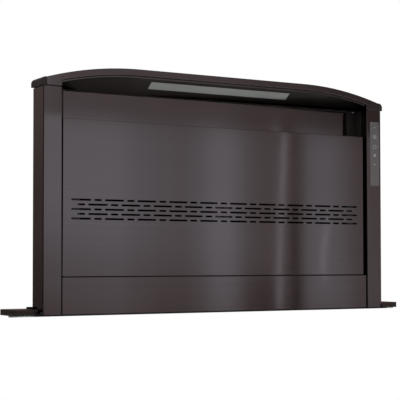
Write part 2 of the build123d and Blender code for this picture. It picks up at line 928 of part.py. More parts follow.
with BuildPart() as shaft_bearings:
    for side in (-1, 1):
        seat = pulley_outer + running_gap
        start = seat if side > 0 else -chute_inner_half_width
        with BuildSketch(side_plane(start)):
            with Locations((belt_centre_y, drive_height)):
                Rectangle(bearing_depth, bearing_height)
                Circle(shaft_radius + bearing_gap, mode=Mode.SUBTRACT)
        extrude(amount=chute_inner_half_width - seat)
save(shaft_bearings, "shaft_bearings")

with BuildPart() as idler_brackets:
    ring_inner = pulley_inner - running_gap
    for side in (-1, 1):
        seat = pulley_outer + running_gap
        with BuildSketch(side_plane(side * seat)):
            with Locations((belt_centre_y, idler_height)):
                Rectangle(idler_block, idler_block)
        extrude(amount=side * (chute_inner_half_width - seat))
        with BuildSketch(side_plane(side * seat)):
            with Locations((belt_centre_y, idler_height)):
                Circle(idler_pin_radius)
        extrude(amount=-side * (seat - ring_inner + sheet / 2))
        with BuildSketch(side_plane(side * ring_inner)):
            with Locations((belt_centre_y, idler_height)):
                RegularPolygon(idler_collar_radius, clip_facets)
        extrude(amount=-side * sheet)
save(idler_brackets, "idler_brackets")

gearbox_rear = chute_rear - gearbox_rear_gap
gearbox_top = drive_height + gearbox_above
gearbox_bottom = drive_height - gearbox_below
gear_front = -chute_front + sheet

with BuildPart() as lift_gearbox:
    with BuildSketch(side_plane(gearbox_x - gearbox_width / 2)):
        with Locations(((gear_front + gearbox_rear) / 2, (gearbox_top + gearbox_bottom) / 2)):
            Rectangle(gearbox_rear - gear_front, gearbox_top - gearbox_bottom)
        with Locations((belt_centre_y, drive_height)):
            Circle(shaft_radius + bearing_gap, mode=Mode.SUBTRACT)
    extrude(amount=gearbox_width)
save(lift_gearbox, "lift_gearbox")

with BuildPart() as lift_motor:
    with BuildSketch(front_plane(gear_front)):
        with Locations((gearbox_x, lift_motor_height)):
            RegularPolygon(lift_motor_radius, round_facets)
    extrude(amount=lift_motor_length)
    chamfer(lift_motor.faces().sort_by(Axis.Y)[0].edges(), sheet)
    with BuildSketch(front_plane(gear_front - lift_motor_length)):
        with Locations((gearbox_x, lift_motor_height)):
            RegularPolygon(lift_motor_boss_radius, clip_facets)
    extrude(amount=lift_motor_boss)
save(lift_motor, "lift_motor")

with BuildPart() as end_sensors:
    sensor_low = belt_centre_y + carriage_width / 2 + sheet
    for z in (carriage_bottom + carriage_height / 2, carriage_bottom + carriage_height / 2 - lift_travel):
        block(
            (-chute_inner_half_width, sensor_low, z - sensor_height / 2),
            (-chute_inner_half_width + sensor_width, sensor_low + sensor_depth, z + sensor_height / 2),
        )
save(end_sensors, "end_sensors")

# ---------------------------------------------------------------- blower
scroll_turn = 270 - scroll_start_angle
scroll_steps = 8


def scroll_point(step, wall):
    """A point of the blower's spiral outline, pulled in by a wall."""
    share = step / scroll_steps
    angle = radians(scroll_start_angle + scroll_turn * share)
    radius = scroll_start_radius + (scroll_end_radius - scroll_start_radius) * share - wall
    return (blower_x + radius * cos(angle), blower_height + radius * sin(angle))


def draw_scroll(wall, reach):
    """Draw the snail outline of the blower, pulled in by a wall, with its outlet reaching right."""
    points = [scroll_point(step, wall) for step in range(scroll_steps + 1)]
    mouth_x = blower_x + reach
    with BuildLine() as outline:
        for step in range(scroll_steps):
            ThreePointArc(points[step], scroll_point(step + 1 / 2, wall), points[step + 1])
        Line(points[-1], (mouth_x, points[-1][1]))
        Line((mouth_x, points[-1][1]), (mouth_x, points[0][1]))
        Line((mouth_x, points[0][1]), points[0])
    make_face(outline.edges())


plate_front = -chute_front - sheet

with BuildPart() as scroll_plate:
    with BuildSketch(front_plane(-chute_front)):
        draw_scroll(0, scroll_reach)
        with Locations((blower_x, blower_height)):
            Circle(inlet_radius, mode=Mode.SUBTRACT)
    extrude(amount=sheet)
save(scroll_plate, "scroll_plate")

with BuildPart() as scroll_housing:
    with BuildSketch(front_plane(plate_front)):
        draw_scroll(0, scroll_reach)
    extrude(amount=plate_front - scroll_front)
    with BuildSketch(front_plane(plate_front)):
        draw_scroll(sheet, scroll_reach + sheet)
    extrude(amount=plate_front - scroll_front - sheet, mode=Mode.SUBTRACT)
    with BuildSketch(front_plane(scroll_front)):
        with Locations((blower_x, blower_height)):
            Circle(motor_radius)
    extrude(amount=-2 * sheet, mode=Mode.SUBTRACT)
save(scroll_housing, "scroll_housing")

with BuildPart() as inlet_ring:
    mouth_y = -chute_front + sheet
    with BuildSketch(front_plane(plate_front)):
        with Locations((blower_x, blower_height)):
            Circle(inlet_radius)
            RegularPolygon(inlet_radius - 2 * sheet, round_facets, mode=Mode.SUBTRACT)
    extrude(amount=-2 * sheet)
    for wall, mode in ((0, Mode.ADD), (sheet, Mode.SUBTRACT)):
        with BuildSketch(front_plane(mouth_y)):
            with Locations((blower_x, blower_height)):
                RegularPolygon(inlet_radius - wall, round_facets)
        extrude(amount=throat_length, taper=throat_taper, mode=mode)
save(inlet_ring, "inlet_ring")

wheel_back = -chute_front - wheel_setback
wheel_front = wheel_back - wheel_length

blade_inner = wheel_radius - wheel_blade_depth
blade_outer = sqrt((wheel_radius - sheet / 2) ** 2 - (blade_lean + blade_thickness) ** 2)

with BuildSketch() as blade:
    with BuildLine():
        Polyline(
            (blade_inner, 0),
            (blade_outer, blade_lean),
            (blade_outer, blade_lean + blade_thickness),
            (blade_inner, blade_thickness),
            close=True,
        )
    make_face()

with BuildPart() as blower_wheel:
    with BuildSketch(front_plane(wheel_front)):
        with Locations((blower_x, blower_height)):
            Circle(wheel_radius)
            Circle(motor_shaft_radius + bearing_gap, mode=Mode.SUBTRACT)
    extrude(amount=wheel_disc)
    with BuildSketch(front_plane(wheel_back)):
        with Locations((blower_x, blower_height)):
            Circle(wheel_radius)
            Circle(wheel_radius - wheel_ring_width, mode=Mode.SUBTRACT)
    extrude(amount=wheel_disc)
    with BuildSketch(front_plane(wheel_back)):
        with Locations((blower_x, blower_height)):
            with PolarLocations(0, wheel_blades):
                add(blade.sketch)
    extrude(amount=wheel_length)
    with BuildSketch(front_plane(wheel_front)):
        with Locations((blower_x, blower_height)):
            Circle(hub_radius)
            Circle(motor_shaft_radius + bearing_gap, mode=Mode.SUBTRACT)
    extrude(amount=-hub_length)
save(blower_wheel, "blower_wheel")

with BuildPart() as motor_plate:
    with BuildSketch(front_plane(scroll_front)):
        with Locations((blower_x, blower_height)):
            RegularPolygon(motor_plate_radius, round_facets)
            RegularPolygon(motor_plate_hole, round_facets, mode=Mode.SUBTRACT)
    extrude(amount=sheet)
save(motor_plate, "motor_plate")

with BuildPart() as blower_motor:
    motor_back = scroll_front - sheet
    with BuildSketch(front_plane(motor_back)):
        with Locations((blower_x, blower_height)):
            RegularPolygon(motor_radius, round_facets)
    extrude(amount=motor_length)
    chamfer(blower_motor.faces().sort_by(Axis.Y)[0].edges(), motor_nose)
    for i in range(motor_fins):
        with BuildSketch(front_plane(motor_back - fin_pitch * (i + 1))):
            with Locations((blower_x, blower_height)):
                RegularPolygon(fin_radius, round_facets)
        extrude(amount=fin_width)
    with BuildSketch(front_plane(motor_back)):
        with Locations((blower_x, blower_height)):
            Circle(motor_shaft_radius)
    extrude(amount=-(wheel_front - motor_back + hub_length))
save(blower_motor, "blower_motor")

# ---------------------------------------------------------------- outlet and backdraft damper
mouth_height = scroll_point(0, 0)[1] - scroll_point(scroll_steps, 0)[1]
mouth_middle_z = (scroll_point(0, 0)[1] + scroll_point(scroll_steps, 0)[1]) / 2
mouth_middle_y = -chute_front - scroll_depth / 2
hood_size = 2 * (collar_radius + transition_margin)



def hood_form(wall):
    """Return the hood's form between the scroll's mouth and the round collar, pulled in by a wall."""
    mouth_half = scroll_depth / 2 - wall
    mouth_half_height = mouth_height / 2 - wall
    end_half = hood_size / 2 - wall
    with BuildPart(mode=Mode.PRIVATE) as form:
        with BuildSketch(Plane.XY.offset(mouth_middle_z - hood_size)):
            with BuildLine():
                Polyline(
                    (outlet_mouth_x, mouth_middle_y - mouth_half),
                    (collar_start_x, outlet_y - end_half),
                    (collar_start_x, outlet_y + end_half),
                    (outlet_mouth_x, mouth_middle_y + mouth_half),
                    close=True,
                )
            make_face()
        extrude(amount=2 * hood_size)
        with BuildSketch(front_plane(outlet_y + hood_size)):
            with BuildLine():
                Polyline(
                    (outlet_mouth_x, mouth_middle_z - mouth_half_height),
                    (collar_start_x, mouth_middle_z - end_half),
                    (collar_start_x, mouth_middle_z + end_half),
                    (outlet_mouth_x, mouth_middle_z + mouth_half_height),
                    close=True,
                )
            make_face()
        extrude(amount=2 * hood_size, mode=Mode.INTERSECT)
    return form.part


with BuildPart() as outlet_transition:
    add(hood_form(0))
    add(hood_form(sheet), mode=Mode.SUBTRACT)
    with BuildSketch(side_plane(collar_start_x)):
        with Locations((outlet_y, mouth_middle_z)):
            Rectangle(hood_size, hood_size)
            Circle(collar_radius - sheet, mode=Mode.SUBTRACT)
    extrude(amount=-sheet)
save(outlet_transition, "outlet_transition")

with BuildPart() as outlet_collar:
    with BuildSketch(side_plane(collar_start_x)):
        with Locations((outlet_y, mouth_middle_z)):
            Circle(collar_radius)
            Circle(collar_radius - sheet, mode=Mode.SUBTRACT)
    extrude(amount=outlet_collar_length)
    with BuildSketch(Plane.XY.offset(mouth_middle_z)):
        with Locations((damper_x, outlet_y)):
            Circle(damper_pin_radius + bearing_gap)
    extrude(amount=collar_radius + sheet, both=True, mode=Mode.SUBTRACT)
save(outlet_collar, "outlet_collar")

with BuildPart() as damper_pin:
    with BuildSketch(Plane.XY.offset(mouth_middle_z)):
        with Locations((damper_x, outlet_y)):
            Circle(damper_pin_radius)
    extrude(amount=collar_radius - running_gap, both=True)
save(damper_pin, "damper_pin")


def damper_flap(name, side):
    """Make one half-round flap with its knuckle on the shared upright pin."""
    flap_radius = collar_radius - sheet - flap_gap
    with BuildPart() as flap:
        with BuildSketch(side_plane(damper_x - flap_thickness / 2)):
            with Locations((outlet_y, mouth_middle_z)):
                Circle(flap_radius)
            with Locations((outlet_y - side * (collar_radius - flap_set_back), mouth_middle_z)):
                Rectangle(2 * collar_radius, 2 * collar_radius, mode=Mode.SUBTRACT)
        extrude(amount=flap_thickness)
        knuckle_bottom = mouth_middle_z + side * (knuckle_length / 2 + flap_gap)
        with BuildSketch(Plane.XY.offset(knuckle_bottom - knuckle_length / 2)):
            with Locations((damper_x, outlet_y)):
                Circle(knuckle_radius)
            with Locations((damper_x, outlet_y + side * flap_set_back)):
                Rectangle(flap_thickness, flap_set_back)
            with Locations((damper_x, outlet_y)):
                Circle(damper_pin_radius + bearing_gap, mode=Mode.SUBTRACT)
        extrude(amount=knuckle_length)
    save(flap, name)


damper_flap("damper_flap_front", -1)
damper_flap("damper_flap_rear", 1)

# ---------------------------------------------------------------- control box
box_left = box_inset - chute_half_width
box_right = box_left + box_width
box_top = -box_drop
box_bottom = box_top - box_height
box_middle = ((box_left + box_right) / 2, (box_bottom + box_top) / 2)
box_front = -chute_front - box_depth
gland_place = (box_left + gland_inset, (box_front - chute_front) / 2)
with BuildPart() as control_box:
    block((box_left, box_front, box_bottom), (box_right, -chute_front, box_top))
    chamfer(control_box.edges().filter_by(Axis.Y), box_corner)
    block(
        (box_left + sheet, box_front, box_bottom + sheet),
        (box_right - sheet, -chute_front - sheet, box_top - sheet),
        mode=Mode.SUBTRACT,
    )
    with BuildSketch(Plane.XY.offset(box_bottom)):
        with Locations(gland_place):
            Circle(gland_hole_radius)
    extrude(amount=2 * sheet, mode=Mode.SUBTRACT)
save(control_box, "control_box")

with BuildPart() as control_lid:
    block((box_left, box_front - sheet, box_bottom), (box_right, box_front, box_top))
    chamfer(control_lid.edges().filter_by(Axis.Y), box_corner)
    with BuildSketch(front_plane(box_front - sheet)):
        with Locations(box_middle):
            with GridLocations(louvre_length, louvre_pitch, 1, louvres):
                Rectangle(louvre_length, louvre_height)
    extrude(amount=-sheet, mode=Mode.SUBTRACT)
save(control_lid, "control_lid")

with BuildPart() as main_board:
    board_back = -chute_front - sheet - post_height
    post_width = box_width - 2 * post_margin
    post_rise = box_height - 2 * post_margin
    block(
        (box_left + board_margin, board_back - board_thickness, box_bottom + board_margin),
        (box_right - board_margin, board_back, box_top - board_margin),
    )
    with BuildSketch(front_plane(board_back)):
        with Locations(box_middle):
            with GridLocations(post_width, post_rise, 2, 2):
                RegularPolygon(post_radius, clip_facets)
    extrude(amount=-post_height)
    with BuildSketch(front_plane(board_back - board_thickness)):
        with Locations((box_middle[0], box_top - part_margin)):
            Rectangle(relay_width, relay_height)
        with Locations((box_middle[0], box_bottom + part_margin)):
            Rectangle(terminal_width, terminal_height)
    extrude(amount=part_height)
save(main_board, "main_board")

with BuildPart() as cable_gland:
    with BuildSketch(Plane.XY.offset(box_bottom)):
        with Locations(gland_place):
            RegularPolygon(gland_radius, gland_sides)
            Circle(gland_bore_radius, mode=Mode.SUBTRACT)
    extrude(amount=-gland_length / 2)
    with BuildSketch(Plane.XY.offset(box_bottom - gland_length / 2)):
        with Locations(gland_place):
            RegularPolygon(gland_nut_radius, clip_facets)
            Circle(gland_bore_radius, mode=Mode.SUBTRACT)
    extrude(amount=-gland_length / 2)
save(cable_gland, "cable_gland")

# ---------------------------------------------------------------- legs and brackets
with BuildPart() as floor_legs:
    leg_middle_y = (chute_rear - channel_front) / 2
    leg_top = chute_bottom + leg_overlap
    leg_height = chute_depth + leg_drop
    for side in (-1, 1):
        with BuildSketch(side_plane(side * chute_half_width)):
            with Locations((leg_middle_y, (leg_top - leg_height) / 2)):
                Rectangle(leg_width, leg_top + leg_height)
            with Locations((leg_middle_y, chute_bottom + leg_overlap / 2)):
                Rectangle(2 * leg_hole_radius, leg_slot, mode=Mode.SUBTRACT)
        extrude(amount=side * leg_sheet)
        with BuildSketch(Plane.XY.offset(-leg_height)):
            with Locations((side * (chute_half_width + leg_sheet - leg_foot / 2), leg_middle_y)):
                Rectangle(leg_foot, leg_foot_width)
                with GridLocations(1, leg_hole_spacing, 1, 2):
                    Circle(leg_hole_radius, mode=Mode.SUBTRACT)
        extrude(amount=leg_sheet)
save(floor_legs, "floor_legs")

with BuildPart() as worktop_brackets:
    bracket_x = chute_half_width - bracket_inset
    bracket_top = -worktop_thickness
    bracket_under = bracket_top - leg_sheet
    for x in (-bracket_x, bracket_x):
        with BuildSketch(side_plane(x - bracket_width / 2)):
            with BuildLine():
                Polyline(
                    (chute_rear, bracket_top),
                    (chute_rear + bracket_reach, bracket_top),
                    (chute_rear + bracket_reach, bracket_under),
                    (chute_rear + leg_sheet, bracket_under),
                    (chute_rear + leg_sheet, bracket_top - bracket_drop),
                    (chute_rear, bracket_top - bracket_drop),
                    close=True,
                )
            make_face()
        extrude(amount=bracket_width)
    bracket_hole_y = chute_rear + bracket_reach / 2
    with BuildSketch(Plane.XY.offset(bracket_top)):
        with Locations((-bracket_x, bracket_hole_y), (bracket_x, bracket_hole_y)):
            with GridLocations(bracket_hole_spacing, 1, 2, 1):
                Circle(bracket_hole_radius)
    extrude(amount=-leg_sheet, mode=Mode.SUBTRACT)
save(worktop_brackets, "worktop_brackets")
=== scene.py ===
"""Looks of a telescopic downdraft vent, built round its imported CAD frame.

The frame gives every piece its place. This script dresses the frame's nodes, models the pieces
whose edges and slots show most, and sets up a plain studio with the camera of the photograph.
"""

from __future__ import annotations

import json
import logging
import math
from dataclasses import dataclass, field
from enum import Enum
from typing import Callable, Iterable, Sequence

import bpy
from mathutils import Matrix, Vector

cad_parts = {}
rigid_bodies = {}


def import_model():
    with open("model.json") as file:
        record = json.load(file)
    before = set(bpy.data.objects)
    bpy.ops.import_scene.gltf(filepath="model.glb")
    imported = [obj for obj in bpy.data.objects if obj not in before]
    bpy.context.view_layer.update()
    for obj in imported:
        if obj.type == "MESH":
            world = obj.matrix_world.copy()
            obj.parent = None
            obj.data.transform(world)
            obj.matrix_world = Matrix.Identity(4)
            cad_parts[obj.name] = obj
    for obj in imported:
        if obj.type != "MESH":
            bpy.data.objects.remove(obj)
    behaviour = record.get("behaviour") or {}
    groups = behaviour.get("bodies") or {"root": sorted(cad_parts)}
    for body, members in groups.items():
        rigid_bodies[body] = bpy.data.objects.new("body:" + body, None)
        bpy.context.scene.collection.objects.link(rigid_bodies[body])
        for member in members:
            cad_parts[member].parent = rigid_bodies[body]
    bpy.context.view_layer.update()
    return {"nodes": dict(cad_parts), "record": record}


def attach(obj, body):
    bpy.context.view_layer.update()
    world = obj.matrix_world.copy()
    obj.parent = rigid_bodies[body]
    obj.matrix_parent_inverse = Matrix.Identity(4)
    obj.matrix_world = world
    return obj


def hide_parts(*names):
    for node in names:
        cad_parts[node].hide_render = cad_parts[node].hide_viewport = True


LOG = logging.getLogger("downdraft_vent")
MM = 0.001
TINY = 1e-6  # lengths below this one, in metres, count as none
FACING = 0.9  # least share of a normal along an axis for a face to look that way
STAND_UP = Matrix.Rotation(math.radians(90), 4, "X")

Colour = tuple[float, float, float]
Point = tuple[float, float, float]
Stop = tuple[float, float]
Object = bpy.types.Object
Material = bpy.types.Material
Socket = bpy.types.NodeSocket

WHITE: Colour = (1.0, 1.0, 1.0)


class Body(Enum):
    """The rigid bodies of the frame that a modelled piece can ride on."""

    HOUSING = "housing"
    TOWER = "tower"
    PANEL = "panel"


class Grain(Enum):
    """Direction of the brush marks: stretch of the noise for each axis, and turn of the sheen."""

    ALONG_X = ((6.0, 1400.0, 1400.0), 0.25)
    ALONG_Z = ((1400.0, 1400.0, 6.0), 0.0)


class Slot(Enum):
    """Material slots of the record."""

    COLUMNS = "columns"
    SKINS = "skins"
    BLACK_PAINT = "black_paint"
    BLACK_PLASTIC = "black_plastic"
    COLLAR = "collar"
    TRIM = "trim"
    LENS = "lens"
    TOUCH_GLASS = "touch_glass"
    CIRCUIT_BOARD = "circuit_board"
    FILTER = "filter"
    GALVANISED = "galvanised"
    RUBBER = "rubber"
    BRIGHT_STEEL = "bright_steel"
    GLIDER = "glider"
    CAST = "cast"
    WHEEL = "wheel"
    FLAP = "flap"


class Pick(Enum):
    """Kinds of mesh element that can be selected."""

    FACES = "FACE"
    EDGES = "EDGE"
    CORNERS = "VERT"


class Join(Enum):
    """What one solid does to another."""

    CUT = "DIFFERENCE"
    ADD = "UNION"


# ---------------------------------------------------------------------------- shader graphs
class Tree:
    """A node tree that is emptied and then filled step by step."""

    def __init__(self, owner: Material | bpy.types.World) -> None:
        """Empty the tree of a material or a world."""
        owner.use_nodes = True
        self.nodes = owner.node_tree.nodes
        self.links = owner.node_tree.links
        self.nodes.clear()

    def feed(self, socket: Socket, value: object) -> None:
        """Link an input to an output, or set it.

        Args:
            socket: The input.
            value: An output, a number, a vector or a colour.
        """
        if isinstance(value, Socket):
            self.links.new(value, socket)
        else:
            socket.default_value = (*value, 1.0) if socket.type == "RGBA" else value

    def fill(self, node: bpy.types.Node, **inputs: object) -> bpy.types.Node:
        """Feed several inputs of a node.

        Args:
            node: The node.
            inputs: Names of inputs, with underscores for spaces, and what they get.

        Returns:
            The node.
        """
        for name, value in inputs.items():
            self.feed(node.inputs[name.replace("_", " ")], value)
        return node

    def add(self, kind: str, **inputs: object) -> bpy.types.Node:
        """Add a node of a kind, such as "Bump", and feed its inputs."""
        return self.fill(self.nodes.new(f"ShaderNode{kind}"), **inputs)

    def math(self, operation: str, *values: object) -> Socket:
        """Return a sum on outputs and numbers.

        Args:
            operation: Name of the sum, such as "MAXIMUM".
            values: Its terms, in order.

        Returns:
            The result.
        """
        node = self.add("Math")
        node.operation = operation
        for socket, value in zip(node.inputs, values):
            self.feed(socket, value)
        return node.outputs["Value"]

    def ramp(self, value: Socket, stops: Sequence[tuple[float, Colour]], how: str) -> Socket:
        """Return a colour that a value chooses.

        Args:
            value: The value, 0 to 1.
            stops: Places of the ramp, rising, and their colours.
            how: The ramp's interpolation.

        Returns:
            The colour.
        """
        node = self.add("ValToRGB", Fac=value)
        node.color_ramp.interpolation = how
        elements = node.color_ramp.elements
        for i, (place, colour) in enumerate(stops):
            stop = elements[i] if i < 2 else elements.new(place)
            stop.position = place
            stop.color = (*colour, 1.0)
        return node.outputs["Color"]


def shaded(colour: Colour, factor: float) -> Colour:
    """Return a colour made darker or lighter by a factor."""
    return (colour[0] * factor, colour[1] * factor, colour[2] * factor)


class Graph(Tree):
    """A material's node tree, round one shader that reads object coordinates."""

    LOW, HIGH = 0.3, 0.7  # noise rarely falls below the first or rises above the second

    def __init__(self, name: str, kind: str = "BsdfPrincipled") -> None:
        """Start a new material.

        Args:
            name: The material's name.
            kind: The kind of its shader node.
        """
        self.material = bpy.data.materials.new(name)
        super().__init__(self.material)
        self.shader = self.add(kind)
        self.add("OutputMaterial", Surface=self.shader.outputs[0])
        self.coordinates = self.add("TexCoord").outputs["Object"]

    def set(self, **inputs: object) -> None:
        """Feed inputs of the shader, named with underscores for spaces."""
        self.fill(self.shader, **inputs)

    def stretched(self, scale: float | Sequence[float]) -> Socket:
        """Return object coordinates scaled evenly, or by a factor for each axis."""
        factors = (scale, scale, scale) if isinstance(scale, float) else scale
        return self.add("Mapping", Vector=self.coordinates, Scale=factors).outputs["Vector"]

    def noise(self, scale: float | Sequence[float], detail: float) -> Socket:
        """Return noise, near 0.5 on average.

        Args:
            scale: Cycles per metre, even or for each axis.
            detail: Octaves of the noise.

        Returns:
            The noise value.
        """
        place = self.stretched(scale)
        return self.add("TexNoise", Vector=place, Scale=1.0, Detail=detail).outputs["Fac"]

    def cells(self, scale: float) -> Socket:
        """Return random flat cells, as on zinc-coated sheet, so many in a metre."""
        return self.add("TexVoronoi", Vector=self.stretched(scale), Scale=1.0).outputs["Color"]

    def mixed(self, first: Socket, second: Socket, share: float) -> Socket:
        """Return a mixture of two values with a share of the second one."""
        return self.add("Mix", Factor=share, A=first, B=second).outputs["Result"]

    def remap(self, value: Socket, low: float, high: float) -> Socket:
        """Return a noise value mapped to a new range.

        Args:
            value: The value to map.
            low: Result where noise is low.
            high: Result where noise is high.

        Returns:
            The mapped value.
        """
        node = self.add(
            "MapRange", Value=value, From_Min=self.LOW, From_Max=self.HIGH, To_Min=low, To_Max=high
        )
        return node.outputs["Result"]

    def tinted(self, value: Socket, colour: Colour, low: float, high: float) -> Socket:
        """Return a colour that noise makes darker or lighter.

        Args:
            value: The noise value.
            colour: The colour.
            low: Factor on it where noise is low.
            high: Factor on it where noise is high.

        Returns:
            The colour.
        """
        stops = ((self.LOW, shaded(colour, low)), (self.HIGH, shaded(colour, high)))
        return self.ramp(value, stops, "LINEAR")

    def bump(self, height: Socket, strength: float, distance: float) -> None:
        """Raise the surface by a height.

        Args:
            height: The height value.
            strength: Share of the effect, 0 to 1.
            distance: Height of the relief in metres.
        """
        node = self.add("Bump", Strength=strength, Distance=distance, Height=height)
        self.set(Normal=node.outputs["Normal"])


@dataclass(frozen=True)
class Finish:
    """A surface of the vent. Its shades are factors on its colour where noise is low and high."""

    name: str
    colour: Colour

    def material(self) -> Material:
        """Return the finish as a material."""
        graph = Graph(self.name)
        self.draw(graph)
        return graph.material

    def draw(self, graph: Graph) -> None:
        """Fill the material's graph."""
        raise NotImplementedError


@dataclass(frozen=True)
class BrushedSteel(Finish):
    """Brushed sheet with fine parallel marks."""

    grain: Grain
    rough: float = 0.075
    sheen: float = 0.85
    contrast: float = 0.07
    relief: float = 0.12
    depth: float = 0.04 * MM
    streak: float = 0.2
    streak_share: float = 0.55
    cloud: float = 5.0
    cloud_share: float = 0.35
    rough_spread: tuple[float, float] = (0.8, 1.25)

    def draw(self, graph: Graph) -> None:
        """Lay fine marks, coarser streaks along them and a faint cloud in the roughness."""
        stretch, turn = self.grain.value
        marks = graph.noise(stretch, detail=4.0)
        streaks = graph.noise([factor * self.streak for factor in stretch], detail=2.0)
        cloud = graph.noise(self.cloud, detail=2.0)
        tone = graph.mixed(marks, streaks, self.streak_share)
        uneven = graph.mixed(marks, cloud, self.cloud_share)
        graph.set(
            Metallic=1.0,
            Anisotropic=self.sheen,
            Anisotropic_Rotation=turn,
            Base_Color=graph.tinted(tone, self.colour, 1.0 - self.contrast, 1.0 + self.contrast),
            Roughness=graph.remap(uneven, *(self.rough * factor for factor in self.rough_spread)),
        )
        graph.bump(marks, self.relief, self.depth)


@dataclass(frozen=True)
class ZincSheet(Finish):
    """Zinc-coated sheet with its pale spangle."""

    spangle: float = 150.0
    wash: float = 4.0
    wash_share: float = 0.45
    shades: tuple[float, float] = (0.93, 1.04)
    rough: tuple[float, float] = (0.4, 0.48)
    ripple: float = 220.0
    relief: float = 0.12
    depth: float = 0.1 * MM

    def draw(self, graph: Graph) -> None:
        """Mix the spangle's cells with a soft wash."""
        cells = graph.cells(self.spangle)
        wash = graph.noise(self.wash, detail=3.0)
        tone = graph.mixed(cells, wash, self.wash_share)
        graph.set(
            Metallic=0.85,
            Base_Color=graph.tinted(tone, self.colour, *self.shades),
            Roughness=graph.remap(graph.mixed(cells, wash, 0.5), *self.rough),
        )
        graph.bump(graph.noise(self.ripple, detail=2.0), self.relief, self.depth)


@dataclass(frozen=True)
class GrainedCoat(Finish):
    """Moulded plastic, rubber, paint or casting: a fine relief under slow changes of tone."""

    rough: float = 0.5
    grain: float = 1800.0
    relief: float = 0.3
    depth: float = 0.05 * MM
    grain_detail: float = 2.0
    wear: float = 30.0
    wear_detail: float = 4.0
    shades: tuple[float, float] = (0.88, 1.14)
    smoother: float = 0.06
    rougher: float = 0.08
    metallic: float = 0.0
    specular: float = 0.28
    coat: float = 0.0

    def draw(self, graph: Graph) -> None:
        """Vary tone and roughness together and add the relief."""
        wear = graph.noise(self.wear, self.wear_detail)
        graph.set(
            Metallic=self.metallic,
            Specular_IOR_Level=self.specular,
            Coat_Weight=self.coat,
            Coat_Roughness=0.3,
            Base_Color=graph.tinted(wear, self.colour, *self.shades),
            Roughness=graph.remap(wear, self.rough - self.smoother, self.rough + self.rougher),
        )
        graph.bump(graph.noise(self.grain, self.grain_detail), self.relief, self.depth)


@dataclass(frozen=True)
class PaintedSheet(GrainedCoat):
    """Painted or powder-coated sheet with a slight orange-peel."""

    rough: float = 0.4
    grain: float = 420.0
    relief: float = 0.25
    depth: float = 0.06 * MM
    wear: float = 9.0
    shades: tuple[float, float] = (0.9, 1.12)
    smoother: float = 0.05
    specular: float = 0.4
    coat: float = 0.1


@dataclass(frozen=True)
class CastMetal(GrainedCoat):
    """Die-cast aluminium with a dull, slightly pitted skin."""

    grain: float = 900.0
    relief: float = 0.35
    depth: float = 0.1 * MM
    grain_detail: float = 3.0
    wear: float = 20.0
    wear_detail: float = 5.0
    shades: tuple[float, float] = (0.84, 1.1)
    smoother: float = 0.08
    rougher: float = 0.1
    metallic: float = 0.8
    specular: float = 0.5


@dataclass(frozen=True)
class ExpandedMesh(Finish):
    """Layers of expanded aluminium, drawn as a diamond pattern whose gaps are darkened as painted
    shade.
    """

    pitch: float = 260.0
    tilt: float = 0.9
    shades: tuple[float, float] = (0.12, 1.0)
    relief: float = 0.8
    depth: float = 0.6 * MM

    def draw(self, graph: Graph) -> None:
        """Cross two sets of waves, raise the strands and darken the gaps between them as painted
        shade.
        """
        waves = []
        for tilt in (self.tilt, -self.tilt):
            place = graph.add("Mapping", Vector=graph.coordinates, Rotation=(0.0, tilt, 0.0))
            scale = self.pitch / math.tau
            wave = graph.add("TexWave", Vector=place.outputs["Vector"], Scale=scale)
            wave.bands_direction = "X"
            waves.append(wave.outputs["Fac"])
        lattice = graph.math("MAXIMUM", *waves)
        # painted shade: the gaps between the strands get 0.12 of the colour
        colour = graph.tinted(lattice, self.colour, *self.shades)
        graph.set(Metallic=0.9, Roughness=0.38, Base_Color=colour)
        graph.bump(lattice, self.relief, self.depth)


@dataclass(frozen=True)
class CircuitBoard(Finish):
    """Green board with paler tracks."""

    tracks: tuple[float, float, float] = (320.0, 320.0, 60.0)
    shades: tuple[float, float] = (1.0, 1.9)
    relief: float = 0.3
    depth: float = 0.1 * MM

    def draw(self, graph: Graph) -> None:
        """Raise the tracks and make them paler."""
        tracks = graph.noise(self.tracks, detail=1.0)
        colour = graph.tinted(tracks, self.colour, *self.shades)
        graph.set(Metallic=0.0, Roughness=0.35, Base_Color=colour)
        graph.bump(tracks, self.relief, self.depth)


@dataclass(frozen=True)
class SmokedGlass(Finish):
    """Dark glass with a printed back, flush in the column."""

    back: tuple[float, float, float] = (1.0, 1.0, 9.0)
    shades: tuple[float, float] = (0.85, 1.1)
    smears: tuple[float, float, float] = (60.0, 60.0, 25.0)
    rough: tuple[float, float] = (0.16, 0.3)

    def draw(self, graph: Graph) -> None:
        """Shade the printed back and smear the face."""
        back = graph.noise(self.back, detail=2.0)
        smears = graph.noise(self.smears, detail=4.0)
        graph.set(
            Metallic=0.0,
            Specular_IOR_Level=0.6,
            Coat_Weight=0.4,
            Coat_Roughness=0.12,
            Base_Color=graph.tinted(back, self.colour, *self.shades),
            Roughness=graph.remap(smears, *self.rough),
        )


@dataclass(frozen=True)
class OpalLens(Finish):
    """Pale diffuser of the worktop light, with fine ribs along it."""

    ribs: tuple[float, float, float] = (3.0, 900.0, 900.0)
    rough: tuple[float, float] = (0.32, 0.5)
    cloud: float = 8.0
    shades: tuple[float, float] = (0.92, 1.06)
    relief: float = 0.3
    depth: float = 0.1 * MM

    def draw(self, graph: Graph) -> None:
        """Lay ribs along the lens over a faint cloud."""
        ribs = graph.noise(self.ribs, detail=1.0)
        cloud = graph.noise(self.cloud, detail=2.0)
        graph.set(
            Metallic=0.0,
            Specular_IOR_Level=0.5,
            Base_Color=graph.tinted(cloud, self.colour, *self.shades),
            Roughness=graph.remap(ribs, *self.rough),
        )
        graph.bump(ribs, self.relief, self.depth)


